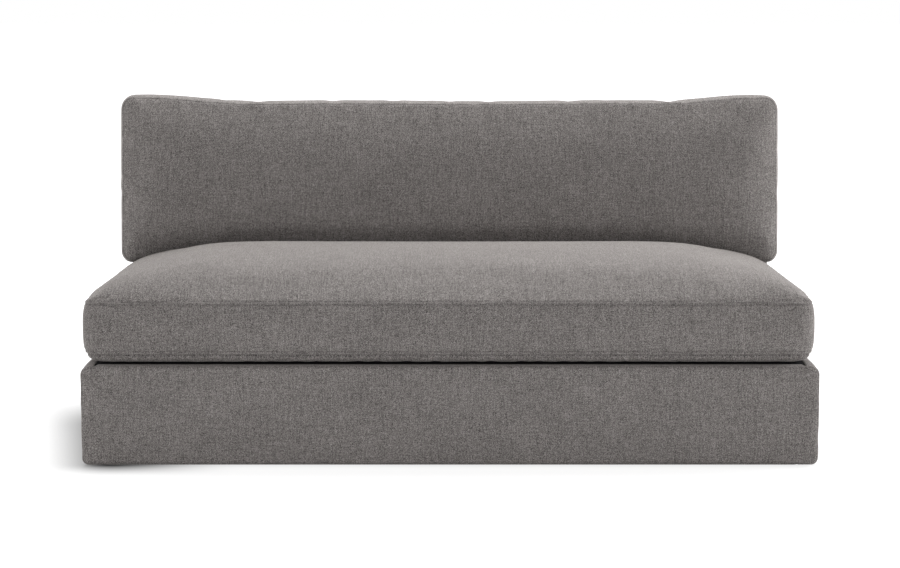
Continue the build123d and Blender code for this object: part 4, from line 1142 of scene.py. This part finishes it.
# ---- foam under the covers ----
AXES = {"z": (0, 1, 2, 1), "y": (0, 2, 1, -1), "x": (1, 2, 0, 1)}
INSIDE_PAD = 15 * MM  # thickness of the inside back's pad, whose box is deeper because it leans
PADS = {  # axis of the thickness, roll and corner in mm, and how it leans: whole, or with its depth
    "base_front_pad": ("y", 8, 20, None),
    "base_rear_pad": ("y", 8, 20, None),
    "base_left_pad": ("x", 24, 14, None),
    "base_right_pad": ("x", 24, 14, None),
    "deck_foam": ("z", 6, 10, None),
    "spring_insulator": ("z", 1, 4, None),
    "inside_back_pad": ("y", 7, 12, "whole"),
    "back_top_pad": ("z", 7, 10, None),
    "back_left_pad": ("x", 9, 12, "depth"),
    "back_right_pad": ("x", 9, 12, "depth"),
}


def slab(low, high, thin, roll, corner, counts=(90, 24, 5)):
    """A slab of foam or felt with rolled edges: rounded rings that close on the middle of both faces.

    thin is the axis of its thickness. Its section is two flat faces and a half ellipse round the edge.
    """
    first, second, third, sign = AXES[thin]
    middle = [(a + b) / 2 for a, b in zip(low, high)]
    reach = [(b - a) / 2 for a, b in zip(low, high)]
    half, tall, thick = reach[first], reach[second], reach[third]
    angle = np.linspace(-math.pi / 2, math.pi / 2, 9)
    short = min(half, tall)
    face = short - (short - roll) * np.linspace(0, 1, 7)[:-1]
    inset = np.concatenate([face, roll * (1 - np.cos(angle)), face[::-1]])
    level = np.concatenate([np.full(6, -thick), thick * np.sin(angle), np.full(6, thick)])
    bend = np.clip(corner - 0 * inset, 0, short - np.minimum(inset, short))
    a, b = rounded_rings(half - inset, inset - tall, tall - inset, bend, bend, counts)
    points = np.empty(a.shape + (3,))
    points[..., first] = middle[first] + a
    points[..., second] = middle[second] + b
    points[..., third] = middle[third] + sign * level[:, None]
    return points


class SOFA_OT_foam(bpy.types.Operator):
    """Foam pads on the base and the back frame, deck foam and felt"""

    bl_idname = "sofa.foam"
    bl_label = "Foam and felt"

    def execute(self, context):
        for node, (thin, roll, corner, lean) in PADS.items():
            low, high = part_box(node)
            snug = 2.5 * MM if thin == "x" else 1 * MM
            low, high = [x + snug for x in low], [x - snug for x in high]
            if lean == "whole":
                high[1] = low[1] + INSIDE_PAD
            points = slab(low, high, thin, roll * MM, corner * MM)
            if lean:
                share = 1.0 if lean == "whole" else (high[1] - points[..., 1]) / (high[1] - low[1])
                points[..., 1] += math.tan(LEAN) * (points[..., 2] - BASE_TOP) * share
            points = slumped(points)
            piece, _ = grid_piece(f"{node}_soft", points, plain_map(*points.shape[:2]), True)
            finish, slot = ("felt, needled", "felt") if node == "spring_insulator" else ("foam, cut", "foam")
            dressed(piece, finish, "frame", slot, node)
        return {"FINISHED"}


# ---- webbing and zips ----
def strips_piece(name, parts):
    """One mesh object made of separate grids, each a pair of points and weave map."""
    pieces = [grid_piece(name, points, weave)[0] for points, weave in parts]
    with bpy.context.temp_override(active_object=pieces[0], selected_editable_objects=pieces):
        bpy.ops.object.join()
    return pieces[0]


def webbing(name, node, straps, level):
    """Straps in the leaning plane of the posts' front: each has its ends in X and Z and its run's axis."""
    parts = []
    for (x0, x1), (z0, z1), along in straps:
        wide, tall = (60, 7) if along == "x" else (7, 60)
        x, z = np.meshgrid(np.linspace(x1, x0, wide), np.linspace(z0, z1, tall))
        place = (x - x0, z - z0) if along == "x" else (z - z0, x - x0)
        dip = 0.15 * MM * np.cos(place[0] * 2 * math.pi / (26 * MM))
        y = inside_back(z) + (level + dip) / math.cos(LEAN)
        parts.append((np.stack([x, y, z], -1), np.stack(place, -1)))
    piece = strips_piece(name, parts)
    dressed(thickened(piece, 1.2 * MM), "webbing, elastic", "frame", "webbing", node)


class SOFA_OT_webbing(bpy.types.Operator):
    """Elastic webbing across and upright in the back frame"""

    bl_idname = "sofa.webbing"
    bl_label = "Back webbing"

    def execute(self, context):
        for word, along, count, level in (("across", "x", 3, 22.0 * MM), ("upright", "z", 11, 20.2 * MM)):
            low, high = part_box(f"back_webbing_{word}")
            first, last, end = low.x, high.x, (low.z, high.z)
            if along == "x":
                first, last, end = low.z, high.z, (low.x, high.x)
            pitch = ((last - first) - STRAP) / (count - 1)
            sides = [(first + i * pitch, first + i * pitch + STRAP) for i in range(count)]
            straps = [(end, side, along) if along == "x" else (side, end, along) for side in sides]
            webbing(f"back_straps_{word}", f"back_webbing_{word}", straps, level)
        return {"FINISHED"}


def zip_tape(name, cushion, middle, out, across, side):
    """One woven tape of a zip, from the coil's slot to its outer edge."""
    half = ZIP_HALF + 10 * MM
    u, v = np.meshgrid(np.linspace(half, -half, 240), side * np.linspace(0.8, 14, 12) * MM)
    wave = (0.4 * MM + 0.12 * MM * wander(u, v, 30 * MM, 61))[..., None]
    points = middle + u[..., None] * ALONG_X + v[..., None] * across + wave * out
    if side * np.cross(ALONG_X, across) @ out > 0:
        points, u, v = points[:, ::-1], u[:, ::-1], v[:, ::-1]
    piece, _ = grid_piece(name, points, np.stack([u, v], -1))
    dressed(thickened(piece, 0.9 * MM), "zip tape", cushion, "zip_tape", f"{cushion}_zip")


def zip_coil(name, cushion, middle, out, across):
    """Both nylon coils of a zip: helices that meet in the slot, of square wire 0.64 mm over its corners."""
    pitch, steps = 2 * MM, 6
    turns = round(2 * ZIP_HALF / pitch)
    t = np.arange(turns * steps + 1) / steps
    angle, spin = 2 * math.pi * t, np.linspace(0, 2 * math.pi, 5)
    wire = np.where((t == 0) | (t == turns), 0, 0.32 * MM)[:, None, None]
    parts = []
    for side in (-1, 1):
        u = (t - turns / 2 + side / 4) * pitch
        v = side * (1.4 + 1.6 * np.cos(angle)) * MM
        w = 0.8 * MM * np.sin(angle)
        core = middle + u[:, None] * ALONG_X + v[:, None] * across + w[:, None] * out
        radial = np.cos(angle)[:, None] * side * across + np.sin(angle)[:, None] * out
        turned = np.cos(spin)[None, :, None] * radial[:, None] + np.sin(spin)[None, :, None] * ALONG_X
        points = core[:, None] + wire * turned
        if side * np.cross(across, out)[0] > 0:
            points = points[:, ::-1]
        parts.append((points, np.stack(np.broadcast_arrays(t[:, None], spin[None, :]), -1) * MM))
    dressed(strips_piece(name, parts), "zip coil, nylon", cushion, "zip_tape", f"{cushion}_zip")


class SOFA_OT_zips(bpy.types.Operator):
    """Zips of both cushions: two tapes and two coils each, in the mouth of the casing"""

    bl_idname = "sofa.zips"
    bl_label = "Zips"

    def execute(self, context):
        faces = {"seat_cushion": ((0, 1, 0), (0, 0, -1)), "back_cushion": ((0, 0, -1), (0, -1, 0))}
        for cushion, (out, across) in faces.items():
            low, high = (np.array(corner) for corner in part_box(f"{cushion}_zip"))
            out, across = np.array(out, float), np.array(across, float)
            middle = (low + high) / 2
            for word, side in (("upper", -1), ("lower", 1)):
                zip_tape(f"{cushion}_zip_tape_{word}", cushion, middle, out, across, side)
            zip_coil(f"{cushion}_zip_coils", cushion, middle, out, across)
        return {"FINISHED"}


# ---- stage ----
def rays_of_view(tree):
    """1 for rays from the camera, also through glass or off a gloss; 0 for rays that light the sofa."""
    path = add(tree, "LightPath").outputs
    seen = add(tree, "Math", {0: path["Is Camera Ray"], 1: path["Is Glossy Ray"]}, operation="MAXIMUM")
    return add(tree, "Math", {0: seen, 1: path["Is Transmission Ray"]}, operation="MAXIMUM")


def floor_material():
    """White painted floor: the camera sees it as near white, with a painted shadow at the base's left end.

    Its own light is 0.8 less the painted shadow, plus 0.4 from 4 m on. The painted shadow is a product of
    fades, each from one value to another between two places: of the slant X+0.21*Y, of X and twice of Y.
    """
    material, tree, shader = new_material("studio floor, white", Roughness=1.0, Specular_IOR_Level=0.0)
    shader.inputs["Base Color"].default_value = linear("#E6E6E6")
    place = add(tree, "TexCoord").outputs["Object"]
    away = add(tree, "VectorMath", {0: place}, operation="LENGTH").outputs["Value"]
    limits = {"From Min": 1.4, "From Max": 4.0, "To Min": 0.0, "To Max": 0.4}
    far = add(tree, "MapRange", {"Value": away, **limits})
    split = add(tree, "SeparateXYZ", {0: place}).outputs
    slant = add(tree, "Math", {0: split["Y"], 1: 0.21, 2: split["X"]}, operation="MULTIPLY_ADD")
    # painted shadow at the base's left end: up to 0.85 taken off the floor's glow, faded out by slant, X and
    # Y
    painted_shadow = 0.85
    for value, start, end, grows in (
        (slant, -1.15, -0.93, True),
        (split["X"], -0.9, -0.5, False),
        (split["Y"], -0.62, -0.48, True),
        (split["Y"], 0.0, 0.5, False),
    ):
        low, high = (0.0, painted_shadow) if grows else (painted_shadow, 0.0)
        limits = {"From Min": start, "From Max": end, "To Min": low, "To Max": high}
        painted_shadow = add(tree, "MapRange", {"Value": value, **limits}, interpolation_type="SMOOTHSTEP")
    level = add(tree, "Math", {0: 0.8, 1: painted_shadow}, operation="SUBTRACT")
    level = add(tree, "Math", {0: far, 1: level}, operation="ADD")
    glow = add(tree, "Emission", {"Color": (1, 1, 1, 1), "Strength": level})
    pale = add(tree, "BsdfDiffuse", {"Color": (0.45, 0.45, 0.45, 1.0)})
    both = add(tree, "AddShader", {0: pale, 1: glow})
    mixed = add(tree, "MixShader", {0: rays_of_view(tree), 1: shader, 2: both})
    tree.links.new(mixed.outputs[0], tree.nodes["Material Output"].inputs["Surface"])
    return material


# camera fitted to the sofa's edges in the photograph: focal length and picture width in px, sensor in mm
FOCAL, PICTURE, SENSOR = 2109, 900, 36
CAMERA_PLACE, CAMERA_DOWN = (0, -5.647, 1.104), 7.17  # in metres, and in degrees below level
LAMPS = {  # place, aim, size in metres and power in watts
    "overhead": ((0.0, 0.98, 2.9), (0, 0, 0.3), (4.0, 1.8), 71),
    "front": ((0.0, -4.4, 0.22), (0, -0.5, 0.22), (5.0, 0.35), 37),
    "right": ((3.8, 0.45, 1.2), (0, 0, 0.5), (1.4, 1.4), 62),
    "left": ((-3.8, 0.3, 1.1), (0, 0, 0.5), (1.4, 1.4), 18),
}


class SOFA_OT_stage(bpy.types.Operator):
    """White studio floor, soft light from above and the right, and the camera"""

    bl_idname = "sofa.stage"
    bl_label = "Stage"

    def execute(self, context):
        scene = context.scene
        far = 400.0
        corners = [(-far, -far, 0), (far, -far, 0), (far, far, 0), (-far, far, 0)]
        floor = bpy.data.objects.new("studio_floor", bpy.data.meshes.new("studio_floor"))
        floor.data.from_pydata(corners, [], [(0, 1, 2, 3)])
        scene.collection.objects.link(floor)
        floor.data.materials.append(floor_material())

        world = bpy.data.worlds.new("studio")
        scene.world = world
        world.use_nodes = True
        tree = world.node_tree
        # the camera sees a white world, and the sofa gets 0.46 of its light
        strength = add(tree, "MapRange", {"Value": rays_of_view(tree), "To Min": 0.46, "To Max": 1.0})
        background = tree.nodes["Background"]
        background.inputs["Color"].default_value = (1, 1, 1, 1)
        tree.links.new(strength.outputs["Result"], background.inputs["Strength"])

        for name, (place, aim, size, power) in LAMPS.items():
            data = bpy.data.lights.new(name, "AREA")
            data.shape = "RECTANGLE"
            data.size, data.size_y = size
            data.energy = power
            lamp = bpy.data.objects.new(name, data)
            scene.collection.objects.link(lamp)
            lamp.location = place
            lamp.rotation_euler = (Vector(aim) - Vector(place)).to_track_quat("-Z", "Y").to_euler()

        data = bpy.data.cameras.new("camera")
        data.sensor_width = SENSOR
        data.lens = SENSOR * FOCAL / PICTURE
        data.clip_end = 1000
        camera = bpy.data.objects.new("camera", data)
        scene.collection.objects.link(camera)
        camera.location = CAMERA_PLACE
        camera.rotation_euler = (math.radians(90 - CAMERA_DOWN), 0, 0)
        scene.camera = camera
        scene.view_settings.view_transform = "Standard"
        return {"FINISHED"}


NODE_FINISHES = {
    "beech, planed": "base_front_rail base_rear_rail back_upper_rail back_lower_rail",
    "beech, crosswise": "base_left_rail base_right_rail base_left_stretcher base_right_stretcher",
    "beech, upright": "corner_blocks back_left_post back_right_post back_centre_post",
    "birch plywood": "back_top_board splice_plates",
    "hardboard": "outside_back_board",
    "steel, zinc plated": "frame_bolts frame_washers frame_nuts clip_nails glide_nails spring_clips",
    "spring steel, blacked": "seat_springs spring_tie_wires",
    "nylon, moulded": "glides",
    "zip metal, antique": "seat_cushion_zip_slider back_cushion_zip_slider",
    "zip tape": "seat_cushion_zip back_cushion_zip back_webbing_across back_webbing_upright",
    "felt, needled": "spring_insulator",
    "foam, cut": "deck_foam",
    "dust cloth, bonded": "dust_cover",
}


class SOFA_OT_frame_finishes(bpy.types.Operator):
    """Finishes of the timber, springs and fittings, which keep their CAD meshes"""

    bl_idname = "sofa.frame_finishes"
    bl_label = "Frame finishes"

    def execute(self, context):
        colours = context.scene.sofa.colours
        finishes = {node: finish for finish, nodes in NODE_FINISHES.items() for node in nodes.split()}
        for name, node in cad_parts.items():
            finish = "foam, cut" if "pad" in name or "core" in name else "linen weave"
            finish = "fibre, carded" if "wrap" in name else finish
            node.data.materials.clear()
            node.data.materials.append(material_of(finishes.get(name, finish), colours))
        return {"FINISHED"}


class SOFA_PT_panel(bpy.types.Panel):
    """Lists the sofa's operators and settings"""

    bl_label = "Armless sofa"
    bl_idname = "SOFA_PT_panel"
    bl_space_type = "VIEW_3D"
    bl_region_type = "UI"
    bl_category = "Sofa"

    def draw(self, context):
        column = self.layout.column()
        for operator in OPERATORS:
            column.operator(operator.bl_idname)
        sofa = context.scene.sofa
        for group in (sofa.seat, sofa.back, sofa.covers, sofa.colours):
            box = self.layout.box()
            for key in group.__annotations__:
                box.prop(group, key)


GROUPS = (SeatCushionSizes, BackCushionSizes, CoverSizes, SofaColours, SofaSettings)
OPERATORS = (
    SOFA_OT_frame_finishes,
    SOFA_OT_base_covers,
    SOFA_OT_back_covers,
    SOFA_OT_foam,
    SOFA_OT_seat_cushion,
    SOFA_OT_back_cushion,
    SOFA_OT_webbing,
    SOFA_OT_zips,
    SOFA_OT_stage,
)


def register():
    for item in (*GROUPS, *OPERATORS, SOFA_PT_panel):
        bpy.utils.register_class(item)
    bpy.types.Scene.sofa = PointerProperty(type=SofaSettings)


def unregister():
    del bpy.types.Scene.sofa
    for item in reversed((*GROUPS, *OPERATORS, SOFA_PT_panel)):
        bpy.utils.unregister_class(item)


def main():
    register()
    for operator in OPERATORS:
        group, name = operator.bl_idname.split(".")
        getattr(getattr(bpy.ops, group), name)()


if __name__ == "__main__":
    main()
